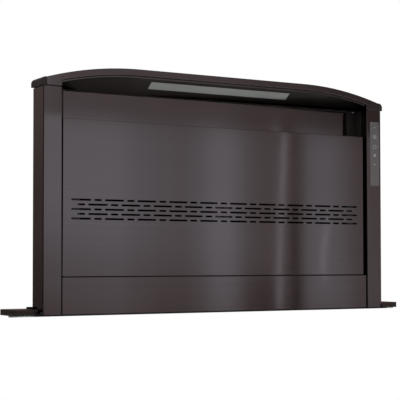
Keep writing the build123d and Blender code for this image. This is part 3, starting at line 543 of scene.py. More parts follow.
@dataclass(frozen=True)
class PrintedLight(Finish):
    """Pale print that shows through the touch glass, slightly lit from behind."""

    glow: float = 0.02
    speckle: float = 900.0
    shades: tuple[float, float] = (0.9, 1.0)

    def draw(self, graph: Graph) -> None:
        """Speckle the print and let it glow a little."""
        speckle = graph.noise(self.speckle, detail=2.0)
        graph.set(
            Metallic=0.0,
            Roughness=0.45,
            Emission_Color=self.colour,
            Emission_Strength=self.glow,
            Base_Color=graph.tinted(speckle, self.colour, *self.shades),
        )


STEEL: Colour = (0.105, 0.094, 0.102)
TRIM_STEEL: Colour = (0.053, 0.0405, 0.038)
FINISHES: dict[Slot, Finish] = {
    Slot.COLUMNS: BrushedSteel("black_stainless_upright", STEEL, Grain.ALONG_Z),
    Slot.SKINS: BrushedSteel("black_stainless_level", STEEL, Grain.ALONG_X),
    Slot.BLACK_PAINT: PaintedSheet("black_painted_sheet", (0.0155, 0.0122, 0.011)),
    Slot.BLACK_PLASTIC: GrainedCoat("black_moulding", (0.0145, 0.0122, 0.0115)),
    Slot.COLLAR: GrainedCoat("soft_black_collar", (0.008, 0.008, 0.0085), 0.6),
    Slot.TRIM: BrushedSteel("dark_brushed_trim", TRIM_STEEL, Grain.ALONG_X, 0.3, 0.5),
    # painted shade: the pale lens is given a mid grey for the shade under the crown
    Slot.LENS: OpalLens("opal_lens_painted_shade", (0.25, 0.258, 0.25)),
    Slot.TOUCH_GLASS: SmokedGlass("smoked_glass", (0.058, 0.056, 0.058)),
    Slot.CIRCUIT_BOARD: CircuitBoard("green_board", (0.02, 0.14, 0.06)),
    # painted shade: the aluminium filters get a near-black colour for the shade behind the panel's
    # slots
    Slot.FILTER: ExpandedMesh("expanded_mesh_painted_shade", (0.018, 0.016, 0.016)),
    Slot.GALVANISED: ZincSheet("zinc_coated_sheet", (0.56, 0.58, 0.6)),
    Slot.RUBBER: GrainedCoat("black_rubber", (0.014, 0.014, 0.014), 0.75, 1200.0),
    Slot.BRIGHT_STEEL: BrushedSteel("ground_steel", (0.55, 0.55, 0.56), Grain.ALONG_X, 0.28, 0.4),
    Slot.GLIDER: GrainedCoat("pale_glider", (0.7, 0.68, 0.62), 0.45),
    Slot.CAST: CastMetal("die_cast_case", (0.4, 0.41, 0.43)),
    Slot.WHEEL: ZincSheet("zinc_coated_wheel", (0.5, 0.52, 0.54), 160.0),
    Slot.FLAP: BrushedSteel("mill_aluminium", (0.62, 0.63, 0.64), Grain.ALONG_Z, 0.35, 0.3),
}
# painted shade: the filter frames are near-black for the same shade behind the slots
FILTER_FRAME_PAINTED_SHADE = PaintedSheet("filter_frame_painted_shade", (0.014, 0.013, 0.013))
TOUCH_PRINT = PrintedLight("touch_print", (0.24, 0.24, 0.25))


class Palette:
    """All finishes of the vent, each made once."""

    def __init__(self) -> None:
        """Make the material of every slot."""
        self.by_slot = {slot: finish.material() for slot, finish in FINISHES.items()}
        self.filter_frame = FILTER_FRAME_PAINTED_SHADE.material()
        self.print = TOUCH_PRINT.material()

    def dress(self, obj: Object, slot: Slot) -> None:
        """Give an object the one material of a slot."""
        self.put(obj, self.by_slot[slot])

    @staticmethod
    def put(obj: Object, material: Material) -> None:
        """Make a material the only one of an object."""
        obj.data.materials.clear()
        obj.data.materials.append(material)


# ---------------------------------------------------------------------------- modelling by hand
class Bench:
    """Edit-mode operators used on one object at a time."""

    @staticmethod
    def alone(obj: Object) -> None:
        """Select one object only and make it active."""
        bpy.ops.object.select_all(action="DESELECT")
        obj.select_set(True)
        bpy.context.view_layer.objects.active = obj

    @classmethod
    def adopt(cls, name: str) -> Object:
        """Name the object that an operator has just added and put its place into its mesh.

        Args:
            name: The object's name.

        Returns:
            The object.
        """
        obj = bpy.context.view_layer.objects.active
        obj.name = name
        cls.alone(obj)
        bpy.ops.object.transform_apply(location=True, rotation=True, scale=True)
        return obj

    @classmethod
    def block(cls, name: str, low: Point, high: Point) -> Object:
        """Add a block between two corners.

        Args:
            name: The object's name.
            low: The lowest corner, in metres.
            high: The highest corner, in metres.

        Returns:
            The block.
        """
        bpy.ops.object.select_all(action="DESELECT")
        middle = [(a + b) / 2 for a, b in zip(low, high)]
        size = [b - a for a, b in zip(low, high)]
        bpy.ops.mesh.primitive_cube_add(size=1.0, location=middle, scale=size)
        return cls.adopt(name)

    @classmethod
    def disc(cls, name: str, centre: Point, radius: float, depth: float, sides: int) -> Object:
        """Add an upright round block.

        Args:
            name: The object's name.
            centre: Its centre, in metres.
            radius: Its radius, in metres.
            depth: Its height along Z, in metres.
            sides: Number of sides.

        Returns:
            The round block.
        """
        bpy.ops.object.select_all(action="DESELECT")
        bpy.ops.mesh.primitive_cylinder_add(
            vertices=sides, radius=radius, depth=depth, location=centre
        )
        return cls.adopt(name)

    @classmethod
    def sheet(cls, name: str, size: float = 1.0, height: float = 0.0) -> Object:
        """Add a level square round the Z axis.

        Args:
            name: The object's name.
            size: Its side, in metres.
            height: Its height, in metres.

        Returns:
            The square.
        """
        bpy.ops.object.select_all(action="DESELECT")
        bpy.ops.mesh.primitive_plane_add(size=size, location=(0, 0, height))
        return cls.adopt(name)

    @classmethod
    def pick(cls, obj: Object, kind: Pick, test: Callable[[Vector, Vector], bool]) -> None:
        """Select some faces, edges or corners, and go into edit mode.

        Args:
            obj: The object.
            kind: What is selected.
            test: Says which are selected: of a face by its centre and normal, of an edge by its
                two ends, of a corner by its place and normal.
        """
        cls.alone(obj)
        bpy.ops.object.mode_set(mode="EDIT")
        bpy.ops.mesh.select_mode(type=kind.value)
        bpy.ops.mesh.select_all(action="DESELECT")
        bpy.ops.object.mode_set(mode="OBJECT")
        mesh = obj.data
        if kind is Pick.FACES:
            traits = [(face, face.center, face.normal) for face in mesh.polygons]
        elif kind is Pick.EDGES:
            traits = [(edge, *(mesh.vertices[i].co for i in edge.vertices)) for edge in mesh.edges]
        else:
            traits = [(corner, corner.co, corner.normal) for corner in mesh.vertices]
        for element, first, second in traits:
            element.select = test(first, second)
        bpy.ops.object.mode_set(mode="EDIT")

    @staticmethod
    def done() -> None:
        """Leave edit mode."""
        bpy.ops.object.mode_set(mode="OBJECT")

    @classmethod
    def shift(cls, obj: Object, kind: Pick, test: Callable[..., bool], way: Point) -> None:
        """Move some faces, edges or corners.

        Args:
            obj: The object.
            kind: What is moved.
            test: Says which are moved, as in pick.
            way: How far, in metres.
        """
        cls.pick(obj, kind, test)
        bpy.ops.transform.translate(value=way)
        cls.done()

    @classmethod
    def round(cls, obj: Object, test: Callable[..., bool], radius: float, steps: int) -> None:
        """Round some edges.

        Args:
            obj: The object.
            test: Says which edges, by their two ends.
            radius: Width of the rounding, in metres.
            steps: Steps of the rounding.
        """
        cls.pick(obj, Pick.EDGES, test)
        bpy.ops.mesh.bevel(offset=radius, segments=steps, affect="EDGES")
        cls.done()

    @classmethod
    def modify(cls, obj: Object, kind: str, **settings: object) -> None:
        """Add a modifier with its settings and apply it.

        Args:
            obj: The object.
            kind: The modifier's kind.
            settings: Its settings, by name.
        """
        cls.alone(obj)
        modifier = obj.modifiers.new(kind.lower(), kind)
        for name, value in settings.items():
            setattr(modifier, name, value)
        bpy.ops.object.modifier_apply(modifier=modifier.name)

    @classmethod
    def cut(cls, obj: Object, tool: Object, how: Join = Join.CUT) -> None:
        """Cut an object with another one, or join the two, and throw the tool away.

        Args:
            obj: The object that stays.
            tool: The object that is used up.
            how: What the tool does.
        """
        cls.modify(obj, "BOOLEAN", operation=how.value, solver="EXACT", object=tool)
        bpy.data.objects.remove(tool, do_unlink=True)

    @classmethod
    def ease(cls, obj: Object, width: float, segments: int = 2, angle: float = 40.0) -> None:
        """Round the sharp edges and shade the rest smooth.

        Args:
            obj: The object.
            width: Width of the rounding, in metres.
            segments: Steps of the rounding.
            angle: Edges sharper than this, in degrees, are rounded.
        """
        cls.modify(
            obj,
            "BEVEL",
            width=width,
            segments=segments,
            limit_method="ANGLE",
            angle_limit=math.radians(angle),
            use_clamp_overlap=True,
        )
        cls.settle(obj)

    @classmethod
    def settle(cls, obj: Object, angle: float = 35.0) -> None:
        """Shade rounded edges smooth and keep the large faces flat.

        Args:
            obj: The object.
            angle: Edges sharper than this, in degrees, stay sharp.
        """
        cls.alone(obj)
        bpy.ops.object.shade_smooth_by_angle(angle=math.radians(angle))
        cls.modify(obj, "WEIGHTED_NORMAL", mode="FACE_AREA", weight=100, keep_sharp=True)

    @classmethod
    def joined(cls, name: str, parts: Sequence[Object]) -> Object:
        """Join several objects into one.

        Args:
            name: Name of the joined object.
            parts: The objects, at least two.

        Returns:
            The joined object.
        """
        bpy.ops.object.select_all(action="DESELECT")
        for part in parts:
            part.select_set(True)
        bpy.context.view_layer.objects.active = parts[0]
        bpy.ops.object.join()
        parts[0].name = name
        return parts[0]

    @staticmethod
    def copied(obj: Object, place: Matrix) -> Object:
        """Copy an object with a mesh of its own, moved by a matrix.

        Args:
            obj: The object to copy.
            place: Where the copy goes.

        Returns:
            The copy, its place in its mesh.
        """
        twin = obj.copy()
        twin.data = obj.data.copy()
        twin.data.transform(place)
        bpy.context.collection.objects.link(twin)
        return twin


def facing(direction: Point) -> Matrix:
    """Return the turn that brings +Z to a direction."""
    return Vector(direction).to_track_quat("Z", "Y").to_matrix().to_4x4()


def stretch(side: int, inner: float, outer: float) -> tuple[float, float]:
    """Return the lower and the higher end of a stretch of X on the left (-1) or right (1)."""
    return (inner, outer) if side > 0 else (-outer, -inner)


# ---------------------------------------------------------------------------- sub-assemblies
@dataclass
class FrontPanel:
    """Pull-off panel: a shallow tray with five staggered rows of round-ended slots."""

    half_width: float = 350.0 * MM
    bottom: float = 72.3 * MM
    top: float = 368.5 * MM
    front: float = -17.6 * MM
    back: float = -8.3 * MM
    sheet: float = 1.5 * MM
    edge: float = 0.9 * MM
    edge_steps: int = 3
    row_middle: float = 198.9 * MM
    row_pitch: float = 8.9 * MM
    rows: int = 5
    slot_height: float = 3.8 * MM
    long_slot: float = 40.6 * MM
    short_slot: float = 15.7 * MM
    period: float = 69.4 * MM
    periods: int = 9
    slot_sides: int = 20
    cutter_depth: float = 9.0 * MM

    def cutter(self, length: float) -> Object:
        """Model one round-ended cutter at the origin, long along X, through Y.

        Args:
            length: Overall length of the slot, in metres.

        Returns:
            The cutter.
        """
        radius = self.slot_height / 2
        tool = Bench.disc("slot_cutter", (0, 0, 0), radius, self.cutter_depth, self.slot_sides)
        half = (length - self.slot_height) / 2
        for side in (-1, 1):
            way = (side * half, 0, 0)
            Bench.shift(tool, Pick.CORNERS, lambda place, normal: place.x * side > TINY, way)
        tool.data.transform(STAND_UP)
        return tool

    def slots(self) -> Object:
        """Lay out all slot cutters and join them."""
        kinds = {length: self.cutter(length) for length in (self.long_slot, self.short_slot)}
        tools = []
        for row in range(self.rows):
            z = self.row_middle + (row - (self.rows - 1) / 2) * self.row_pitch
            outer, inner = self.long_slot, self.short_slot
            if row % 2:
                outer, inner = inner, outer
            for count, length in ((self.periods + 1, outer), (self.periods, inner)):
                for i in range(count):
                    x = (i - (count - 1) / 2) * self.period
                    spot = Matrix.Translation((x, self.front + self.sheet, z))
                    tools.append(Bench.copied(kinds[length], spot))
        for tool in kinds.values():
            bpy.data.objects.remove(tool, do_unlink=True)
        return Bench.joined("slot_cutters", tools)

    def build(self, palette: Palette) -> list[Object]:
        """Model the tray, cut its slots and dress it.

        Args:
            palette: The finishes.

        Returns:
            The panel.
        """
        low = (-self.half_width, self.front, self.bottom)
        high = (self.half_width, self.back, self.top)
        panel = Bench.block("front_panel_sheet", low, high)
        hollow = {"value": (0, self.front + self.sheet - self.back, 0)}
        Bench.pick(panel, Pick.FACES, lambda centre, normal: normal.y > FACING)
        bpy.ops.mesh.inset(thickness=self.sheet, depth=0)
        bpy.ops.mesh.extrude_region_move(TRANSFORM_OT_translate=hollow)
        Bench.done()
        face = self.front + TINY
        Bench.round(panel, lambda a, b: max(a.y, b.y) < face, self.edge, self.edge_steps)
        Bench.cut(panel, self.slots())
        Bench.settle(panel)
        palette.dress(panel, Slot.SKINS)
        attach(panel, Body.PANEL.value)
        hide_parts("front_panel")
        return [panel]


@dataclass
class Crown:
    """Arched hood over the tower, with its lip, and the rounded end caps."""

    foot: float = 427.5 * MM
    top: float = 470.4 * MM
    flat: float = 192.0 * MM
    radius: float = 680.0 * MM
    reach: float = 386.0 * MM
    half_depth: float = 25.0 * MM
    wall: float = 1.5 * MM
    lip: float = 12.3 * MM
    rounding: float = 1.3 * MM
    fold: float = 3.8 * MM
    fold_gap: float = 1.3 * MM
    fold_setback: float = 3.2 * MM
    fold_rounding: float = 0.3 * MM
    column_inner: float = 354.5 * MM
    column_top: float = 425.0 * MM
    end: float = 10.5 * MM
    end_foot: float = 426.25 * MM
    end_proud: float = 0.5 * MM
    end_radius: float = 9.0 * MM
    end_steps: int = 8
    end_rise: float = 0.2 * MM
    end_rounding: float = 0.4 * MM
    steps: int = 24
    raw_height: float = 2.2  # height of the uncut block, in heights of the crown
    overshoot: float = 1.05  # how much further than its end the arch is swept

    def arch_block(self, name: str, reach: float, top: float, near: float, far: float) -> Object:
        """Model a solid block under an arched line.

        Args:
            name: The object's name.
            reach: Half its length, in metres.
            top: Height of its flat middle, in metres.
            near: Its front, along Y.
            far: Its back, along Y.

        Returns:
            The block, cut level at the crown's foot.
        """
        thickness = self.raw_height * (self.top - self.foot)
        block = Bench.block(name, (-self.flat, near, top - thickness), (self.flat, far, top))
        sweep = math.asin((reach - self.flat) / (self.radius - thickness)) * self.overshoot
        end = self.flat - 10 * TINY
        for side in (-1, 1):
            Bench.pick(block, Pick.FACES, lambda centre, normal: centre.x * side > end)
            bpy.ops.mesh.delete(type="ONLY_FACE")
            Bench.done()
            Bench.pick(block, Pick.EDGES, lambda a, b: min(a.x * side, b.x * side) > end)
            bpy.ops.mesh.spin(
                steps=self.steps,
                angle=-sweep * side,
                center=(side * self.flat, 0, top - self.radius),
                axis=(0, 1, 0),
            )
            bpy.ops.mesh.edge_face_add()
            Bench.done()
        for place, normal in (
            ((0, 0, self.foot), (0, 0, -1)),
            ((reach, 0, 0), (1, 0, 0)),
            ((-reach, 0, 0), (-1, 0, 0)),
        ):
            Bench.pick(block, Pick.FACES, lambda centre, direction: True)
            bpy.ops.mesh.bisect(plane_co=place, plane_no=normal, use_fill=True, clear_outer=True)
            Bench.done()
        Bench.pick(block, Pick.CORNERS, lambda centre, direction: True)
        bpy.ops.mesh.remove_doubles(threshold=TINY)
        bpy.ops.mesh.normals_make_consistent(inside=False)
        Bench.done()
        return block

    def hood(self, palette: Palette) -> Object:
        """Model the hood: hollow, open under its lip in front, with seats for both ends.

        Args:
            palette: The finishes.

        Returns:
            The hood.
        """
        d, w = self.half_depth, self.wall
        hood = self.arch_block("crown_hood", self.reach, self.top, -d, d)
        inner = self.column_inner
        Bench.cut(hood, self.arch_block("hollow", inner, self.top - w, -d + w, d - w))
        Bench.cut(hood, self.arch_block("mouth", inner, self.top - self.lip, -2 * d, 0))
        for side in (-1, 1):
            left, right = stretch(side, inner + w, self.reach - w)
            low, high = (left, -d + w, self.foot - w), (right, d - w, self.foot + 2 * w)
            Bench.cut(hood, Bench.block("end_hollow", low, high))
        Bench.ease(hood, self.rounding, segments=3)
        palette.dress(hood, Slot.SKINS)
        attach(hood, Body.TOWER.value)
        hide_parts("crown_cap")
        return hood

    def folded_edge(self, palette: Palette) -> list[Object]:
        """Model the folded edge, a thin line under the lip, and its holding strip, black as painted
        shade.

        Args:
            palette: The finishes.

        Returns:
            The folded edge and its strip.
        """
        near = -self.half_depth + self.fold_setback
        seam = self.top - self.lip
        pieces = []
        for name, top, start, slot in (
            ("crown_folded_edge", seam - self.fold_gap, near, Slot.SKINS),
            # the holding strip is black paint: painted shade, the dark line in the gap between lip
            # and fold
            ("crown_painted_shade_strip", seam + self.wall, near + self.wall, Slot.BLACK_PAINT),
        ):
            strip = self.arch_block(name, self.column_inner, top, start, start + self.wall)
            under = self.arch_block("fold_cut", self.reach, seam - self.fold, 2 * near, -near)
            Bench.cut(strip, under)
            Bench.ease(strip, self.fold_rounding)
            palette.dress(strip, slot)
            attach(strip, Body.TOWER.value)
            pieces.append(strip)
        return pieces

    def ends(self, palette: Palette) -> Object:
        """Model both end caps with the seats that they stand on.

        Args:
            palette: The finishes.

        Returns:
            The end caps, joined.
        """
        d, w = self.half_depth, self.wall
        run = self.reach - self.flat
        drop = self.radius - math.sqrt(self.radius**2 - run**2)
        top = self.top - drop + self.end_rise
        outer = self.reach + self.end
        parts = []
        for side in (-1, 1):
            left, right = stretch(side, self.reach, outer)
            low, high = (left, -d - self.end_proud, self.end_foot), (right, d + self.end_proud, top)
            cap = Bench.block("crown_end_moulding", low, high)
            Bench.round(
                cap,
                lambda a, b: min(a.x * side, b.x * side) > outer - TINY
                and min(a.z, b.z) > top - TINY,
                self.end_radius,
                self.end_steps,
            )
            left, right = stretch(side, self.column_inner + 2 * w, self.reach + w)
            low, high = (left, -d + w, self.column_top), (right, d - w, self.foot)
            parts.extend((cap, Bench.block("crown_seat", low, high)))
        ends = Bench.joined("crown_end_mouldings", parts)
        Bench.ease(ends, self.end_rounding)
        palette.dress(ends, Slot.BLACK_PLASTIC)
        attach(ends, Body.TOWER.value)
        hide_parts("crown_ends")
        return ends

    def build(self, palette: Palette) -> list[Object]:
        """Model the hood, the folded edge with its strip, and the caps."""
        return [self.hood(palette), *self.folded_edge(palette), self.ends(palette)]


@dataclass
class TouchFields:
    """Five printed fields behind the touch glass of the right column."""

    centre_x: float = 375.8 * MM
    face: float = -25.0 * MM
    proud: float = 0.12 * MM
    dash: tuple[float, ...] = (389.0 * MM, 4.0 * MM, 1.2 * MM)  # height, then size
    fan: float = 369.0 * MM
    fan_core: tuple[float, ...] = (369.0 * MM, 2.4 * MM, 2.4 * MM)
    dial: float = 347.0 * MM
    lamp: tuple[float, ...] = (329.0 * MM, 5.0 * MM, 5.0 * MM)
    power: tuple[float, ...] = (309.0 * MM, 2.8 * MM, 2.8 * MM)
    ring_radius: float = 4.2 * MM
    ring_width: float = 0.9 * MM
    ring_sides: int = 24
    corner_share: float = 0.3
    corner_steps: int = 3

    def bar(self, name: str, z: float, width: float, height: float) -> Object:
        """Model a flat mark with rounded corners.

        Args:
            name: The object's name.
            z: Height of its centre, in metres.
            width: Its width, in metres.
            height: Its height, in metres.

        Returns:
            The mark.
        """
        low = (self.centre_x - width / 2, self.face - self.proud, z - height / 2)
        high = (self.centre_x + width / 2, self.face, z + height / 2)
        mark = Bench.block(name, low, high)
        radius = min(width, height) * self.corner_share
        Bench.round(mark, lambda a, b: abs(a.y - b.y) > TINY, radius, self.corner_steps)
        return mark

    def ring(self, name: str, z: float) -> Object:
        """Model a flat ring.

        Args:
            name: The object's name.
            z: Height of its centre, in metres.

        Returns:
            The ring.
        """
        ring = Bench.disc(name, (0, 0, 0), self.ring_radius, self.proud, self.ring_sides)
        Bench.pick(ring, Pick.FACES, lambda centre, normal: abs(normal.z) > FACING)
        bpy.ops.mesh.inset(thickness=self.ring_width, depth=0)
        bpy.ops.mesh.bridge_edge_loops()
        Bench.done()
        place = Matrix.Translation((self.centre_x, self.face - self.proud / 2, z))
        ring.data.transform(place @ STAND_UP)
        return ring

    def build(self, palette: Palette) -> list[Object]:
        """Model the marks and dress them.

        Args:
            palette: The finishes.

        Returns:
            The marks, joined.
        """
        marks = (
            self.bar("mark_dash", *self.dash),
            self.ring("mark_fan", self.fan),
            self.bar("mark_fan_core", *self.fan_core),
            self.ring("mark_dial", self.dial),
            self.bar("mark_lamp", *self.lamp),
            self.bar("mark_power", *self.power),
        )
        prints = Bench.joined("touch_prints", marks)
        palette.put(prints, palette.print)
        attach(prints, Body.TOWER.value)
        return [prints]


@dataclass
class TrimFlange:
    """Trim over the housing's rim, with two ears and a rear rail, and the seal under its edge."""

    half_width: float = 445.0 * MM
    front: float = -12.0 * MM
    rear: float = 55.0 * MM
    top: float = 12.0 * MM
    sheet: float = 1.5 * MM
    seam: float = 4.6 * MM
    seam_gap: float = 0.1 * MM
    rounding: float = 0.9 * MM
    seal_bottom: float = 1.0 * MM
    seal_width: float = 9.0 * MM
    seal_rounding: float = 0.6 * MM
    notch_half_width: float = 401.3 * MM
    notch_rear: float = 33.5 * MM
    tab_inner: float = 393.4 * MM
    tab_overlap: float = 1.5 * MM
    tab_proud: float = 1.2 * MM
    tab_bite: float = 0.03 * MM
    corner: float = 3.0 * MM
    corner_steps: int = 4

    def outline(self, name: str, bottom: float, top: float) -> Object:
        """Model a slab with the trim's outline: rounded corners, the tower's notch and both tabs.

        Args:
            name: The object's name.
            bottom: Its lower side, in metres.
            top: Its upper side, in metres.

        Returns:
            The slab.
        """
        low, high = (-self.half_width, self.front, bottom), (self.half_width, self.rear, top)
        slab = Bench.block(name, low, high)
        Bench.round(slab, lambda a, b: abs(a.z - b.z) > TINY, self.corner, self.corner_steps)
        low = (-self.notch_half_width, 2 * self.front, bottom - self.corner)
        high = (self.notch_half_width, self.notch_rear, top + self.corner)
        Bench.cut(slab, Bench.block("notch", low, high))
        for side in (-1, 1):
            outer = self.notch_half_width + self.tab_overlap
            left, right = stretch(side, self.tab_inner, outer)
            low = (left, self.front - self.tab_proud, bottom)
            high = (right, self.front + self.tab_bite, top)
            Bench.cut(slab, Bench.block("tab", low, high), Join.ADD)
        return slab

    def hollow(self, slab: Object, wall: float, top: float) -> None:
        """Cut the inside out of a slab and leave its edge.

        Args:
            slab: The slab.
            wall: Width of the edge that stays, in metres.
            top: Upper end of the cut, in metres.
        """
        low = (-self.half_width + wall, self.front + wall, 0.0)
        high = (self.half_width - wall, self.rear - wall, top)
        Bench.cut(slab, Bench.block("hollow", low, high))

    def build(self, palette: Palette) -> list[Object]:
        """Model the folded trim and its seal and dress them.

        Args:
            palette: The finishes.

        Returns:
            The trim and the seal.
        """
        trim = self.outline("folded_trim", self.seam, self.top)
        self.hollow(trim, self.sheet, self.top - self.sheet)
        Bench.ease(trim, self.rounding, segments=3)
        palette.dress(trim, Slot.TRIM)
        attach(trim, Body.HOUSING.value)
        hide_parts("worktop_flange")
        seal = self.outline("trim_seal", self.seal_bottom, self.seam - self.seam_gap)
        self.hollow(seal, self.seal_width, self.top)
        Bench.ease(seal, self.seal_rounding)
        palette.dress(seal, Slot.RUBBER)
        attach(seal, Body.HOUSING.value)
        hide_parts("flange_gasket")
        return [trim, seal]


@dataclass
class WiperCollar:
    """Black collar round the foot of the tower: a low ring, raised cheeks and two corner blocks."""

    half_width: float = 401.0 * MM
    front: float = -31.7 * MM
    rear: float = 33.2 * MM
    bottom: float = -3.0 * MM
    top: float = 16.0 * MM
    opening_half_width: float = 392.8 * MM
    opening_half_depth: float = 25.3 * MM
    ring_top: float = 2.2 * MM
    cheek_top: float = 11.6 * MM
    cheek_front: float = -11.8 * MM
    cheek_step: float = 21.0 * MM
    block_top: float = 8.0 * MM
    block_front: float = -27.0 * MM
    block_rear: float = -19.5 * MM
    block_inner: float = 390.3 * MM
    block_outer: float = 396.0 * MM
    rounding: float = 0.6 * MM

    def build(self, palette: Palette) -> list[Object]:
        """Model the collar and dress it.

        Args:
            palette: The finishes.

        Returns:
            The collar.
        """
        low = (-self.half_width, self.front, self.bottom)
        collar = Bench.block("wiper_collar_ring", low, (self.half_width, self.rear, self.top))
        wide, over, before = 1.01 * self.half_width, 1.1 * self.top, 1.1 * self.front
        half, deep = self.opening_half_width, self.opening_half_depth
        away = [
            ((-half, -deep, 2 * self.bottom), (half, deep, over)),
            ((-wide, before, self.ring_top), (wide, self.block_front, over)),
            ((-self.block_inner, before, self.ring_top), (self.block_inner, 0.0, over)),
            ((-wide, before, self.block_top), (wide, self.block_rear, over)),
            ((-wide, self.block_rear, self.ring_top), (wide, self.cheek_front, over)),
            ((-wide, self.cheek_front, self.cheek_top), (wide, self.cheek_step, over)),
            ((-wide, before, self.ring_top), (-self.block_outer, self.block_rear, over)),
            ((self.block_outer, before, self.ring_top), (wide, self.block_rear, over)),
        ]
        for low, high in away:
            Bench.cut(collar, Bench.block("collar_cut", low, high))
        Bench.ease(collar, self.rounding)
        palette.dress(collar, Slot.COLLAR)
        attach(collar, Body.HOUSING.value)
        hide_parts("wiper_collar")
        return [collar]


@dataclass
class ScrollNeck:
    """Sheet that closes the top of the blower's outlet neck, with a shallow stiffening field."""

    tongue_x: float = 119.2 * MM
    mouth_x: float = 215.0 * MM
    front: float = -148.0 * MM
    back: float = -35.0 * MM
    top: float = -450.6 * MM
    sheet: float = 1.5 * MM
    roll: float = 3.5 * MM
    margin: float = 14.0 * MM
    depth: float = 0.8 * MM
    rounding: float = 0.4 * MM
    rounded_from: float = 25.0

    def build(self, palette: Palette) -> list[Object]:
        """Model the sheet, roll its end towards the wheel and dress it.

        Args:
            palette: The finishes.

        Returns:
            The sheet.
        """
        low = (self.tongue_x, self.front, self.top - self.sheet)
        cover = Bench.block("scroll_neck_cover", low, (self.mouth_x, self.back, self.top))
        Bench.pick(cover, Pick.FACES, lambda centre, normal: normal.z > FACING)
        bpy.ops.mesh.inset(thickness=self.margin, depth=0)
        bpy.ops.transform.translate(value=(0, 0, -self.depth))
        Bench.done()
        Bench.pick(cover, Pick.FACES, lambda centre, normal: normal.x < -FACING)
        bpy.ops.mesh.extrude_region_move(TRANSFORM_OT_translate={"value": (-self.roll, 0, 0)})
        bpy.ops.transform.translate(value=(0, 0, self.roll))
        Bench.done()
        Bench.ease(cover, self.rounding, angle=self.rounded_from)
        palette.dress(cover, Slot.GALVANISED)
        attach(cover, Body.HOUSING.value)
        return [cover]


@dataclass
class Fasteners:
    """Pan-head screws or hex bolts of one body, modelled once and copied."""

    name: str
    body: Body
    head_radius: float = 3.6 * MM
    head_height: float = 1.8 * MM
    sides: int = 16
    round_share: float = 0.6
    rim_share: float = 0.2
    slope_share: float = 0.06
    recess_share: float = 0.6
    places: list[tuple[Point, Point]] = field(default_factory=list)

    def head(self) -> Object:
        """Model one head that stands on the origin and points up."""
        radius, height = self.head_radius, self.head_height
        screw = Bench.disc("screw_head", (0, 0, height / 2), radius, height, self.sides)
        rim = height - TINY
        Bench.round(screw, lambda a, b: min(a.z, b.z) > rim, height * self.round_share, steps=3)
        Bench.pick(screw, Pick.FACES, lambda place, normal: normal.z > FACING)
        bpy.ops.mesh.inset(thickness=radius * self.rim_share, depth=0)
        bpy.ops.mesh.inset(thickness=radius * self.slope_share, depth=-height * self.recess_share)
        Bench.done()
        return screw

    def row(self, start: Point, end: Point, count: int, normal: Point) -> None:
        """Plan a straight row of screws.

        Args:
            start: Place of the first one, in metres.
            end: Place of the last one, in metres.
            count: How many, at least two.
            normal: The way the heads point.
        """
        for i in range(count):
            share = i / (count - 1)
            spot = tuple(a + (b - a) * share for a, b in zip(start, end))
            self.places.append((spot, normal))

    def build(self, palette: Palette, slot: Slot) -> Object:
        """Copy the head to every planned place and dress the group.

        Args:
            palette: The finishes.
            slot: The slot whose finish the screws get.

        Returns:
            The screws, joined.
        """
        head = self.head()
        copies = [
            Bench.copied(head, Matrix.Translation(spot) @ facing(normal))
            for spot, normal in self.places
        ]
        bpy.data.objects.remove(head, do_unlink=True)
        screws = Bench.joined(self.name, copies)
        Bench.settle(screws)
        palette.dress(screws, slot)
        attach(screws, self.body.value)
        return screws


@dataclass
class HousingFasteners:
    """Screws and bolts that show on the housing. A row gives its X, its Y and both end heights."""

    rear_row: tuple[float, float, float, float] = (425 * MM, 35 * MM, -60 * MM, -560 * MM)
    side_row: tuple[float, float, float, float] = (435.5 * MM, 13 * MM, -80 * MM, -440 * MM)
    rear_count: int = 6
    side_count: int = 4
    bracket_across: tuple[float, ...] = (-322 * MM, -278 * MM, 278 * MM, 322 * MM)
    bracket_y: float = 37.5 * MM
    bracket_z: float = -62 * MM
    motor: Point = (40 * MM, -150 * MM, -395 * MM)
    motor_circle: float = 60 * MM
    motor_count: int = 6
    motor_first: float = 30.0
    lid_across: tuple[float, ...] = (-376 * MM, -244 * MM)
    lid_heights: tuple[float, ...] = (-321 * MM, -129 * MM)
    lid_y: float = -93 * MM
    leg_x: float = 438 * MM
    leg_y: float = 12.4 * MM
    leg_heights: tuple[float, ...] = (-525 * MM, -555 * MM)
    bolt_radius: float = 7.0 * MM
    bolt_height: float = 4.0 * MM
    bolt_sides: int = 6

    def screws(self) -> Fasteners:
        """Plan the screws of the chute's rear and sides, the brackets, the motor and the lid."""
        screws = Fasteners("housing_screw_heads", Body.HOUSING)
        rear, front = (0, 1, 0), (0, -1, 0)
        x, y, first, last = self.rear_row
        for side in (-1, 1):
            screws.row((side * x, y, first), (side * x, y, last), self.rear_count, rear)
        x, y, first, last = self.side_row
        for side in (-1, 1):
            out = (side, 0, 0)
            screws.row((side * x, y, first), (side * x, y, last), self.side_count, out)
        for x in self.bracket_across:
            screws.places.append(((x, self.bracket_y, self.bracket_z), rear))
        x, y, z = self.motor
        for i in range(self.motor_count):
            angle = math.radians(self.motor_first + 360 / self.motor_count * i)
            across = self.motor_circle * math.cos(angle)
            up = self.motor_circle * math.sin(angle)
            screws.places.append(((x + across, y, z + up), front))
        for x in self.lid_across:
            for z in self.lid_heights:
                screws.places.append(((x, self.lid_y, z), front))
        return screws

    def bolts(self) -> Fasteners:
        """Plan the bolts of both legs."""
        size = (self.bolt_radius, self.bolt_height, self.bolt_sides)
        bolts = Fasteners("leg_bolts", Body.HOUSING, *size)
        for side in (-1, 1):
            for z in self.leg_heights:
                bolts.places.append(((side * self.leg_x, self.leg_y, z), (side, 0, 0)))
        return bolts

    def build(self, palette: Palette) -> list[Object]:
        """Model the screws and the bolts and dress them."""
        groups = (self.screws(), self.bolts())
        return [group.build(palette, Slot.BRIGHT_STEEL) for group in groups]


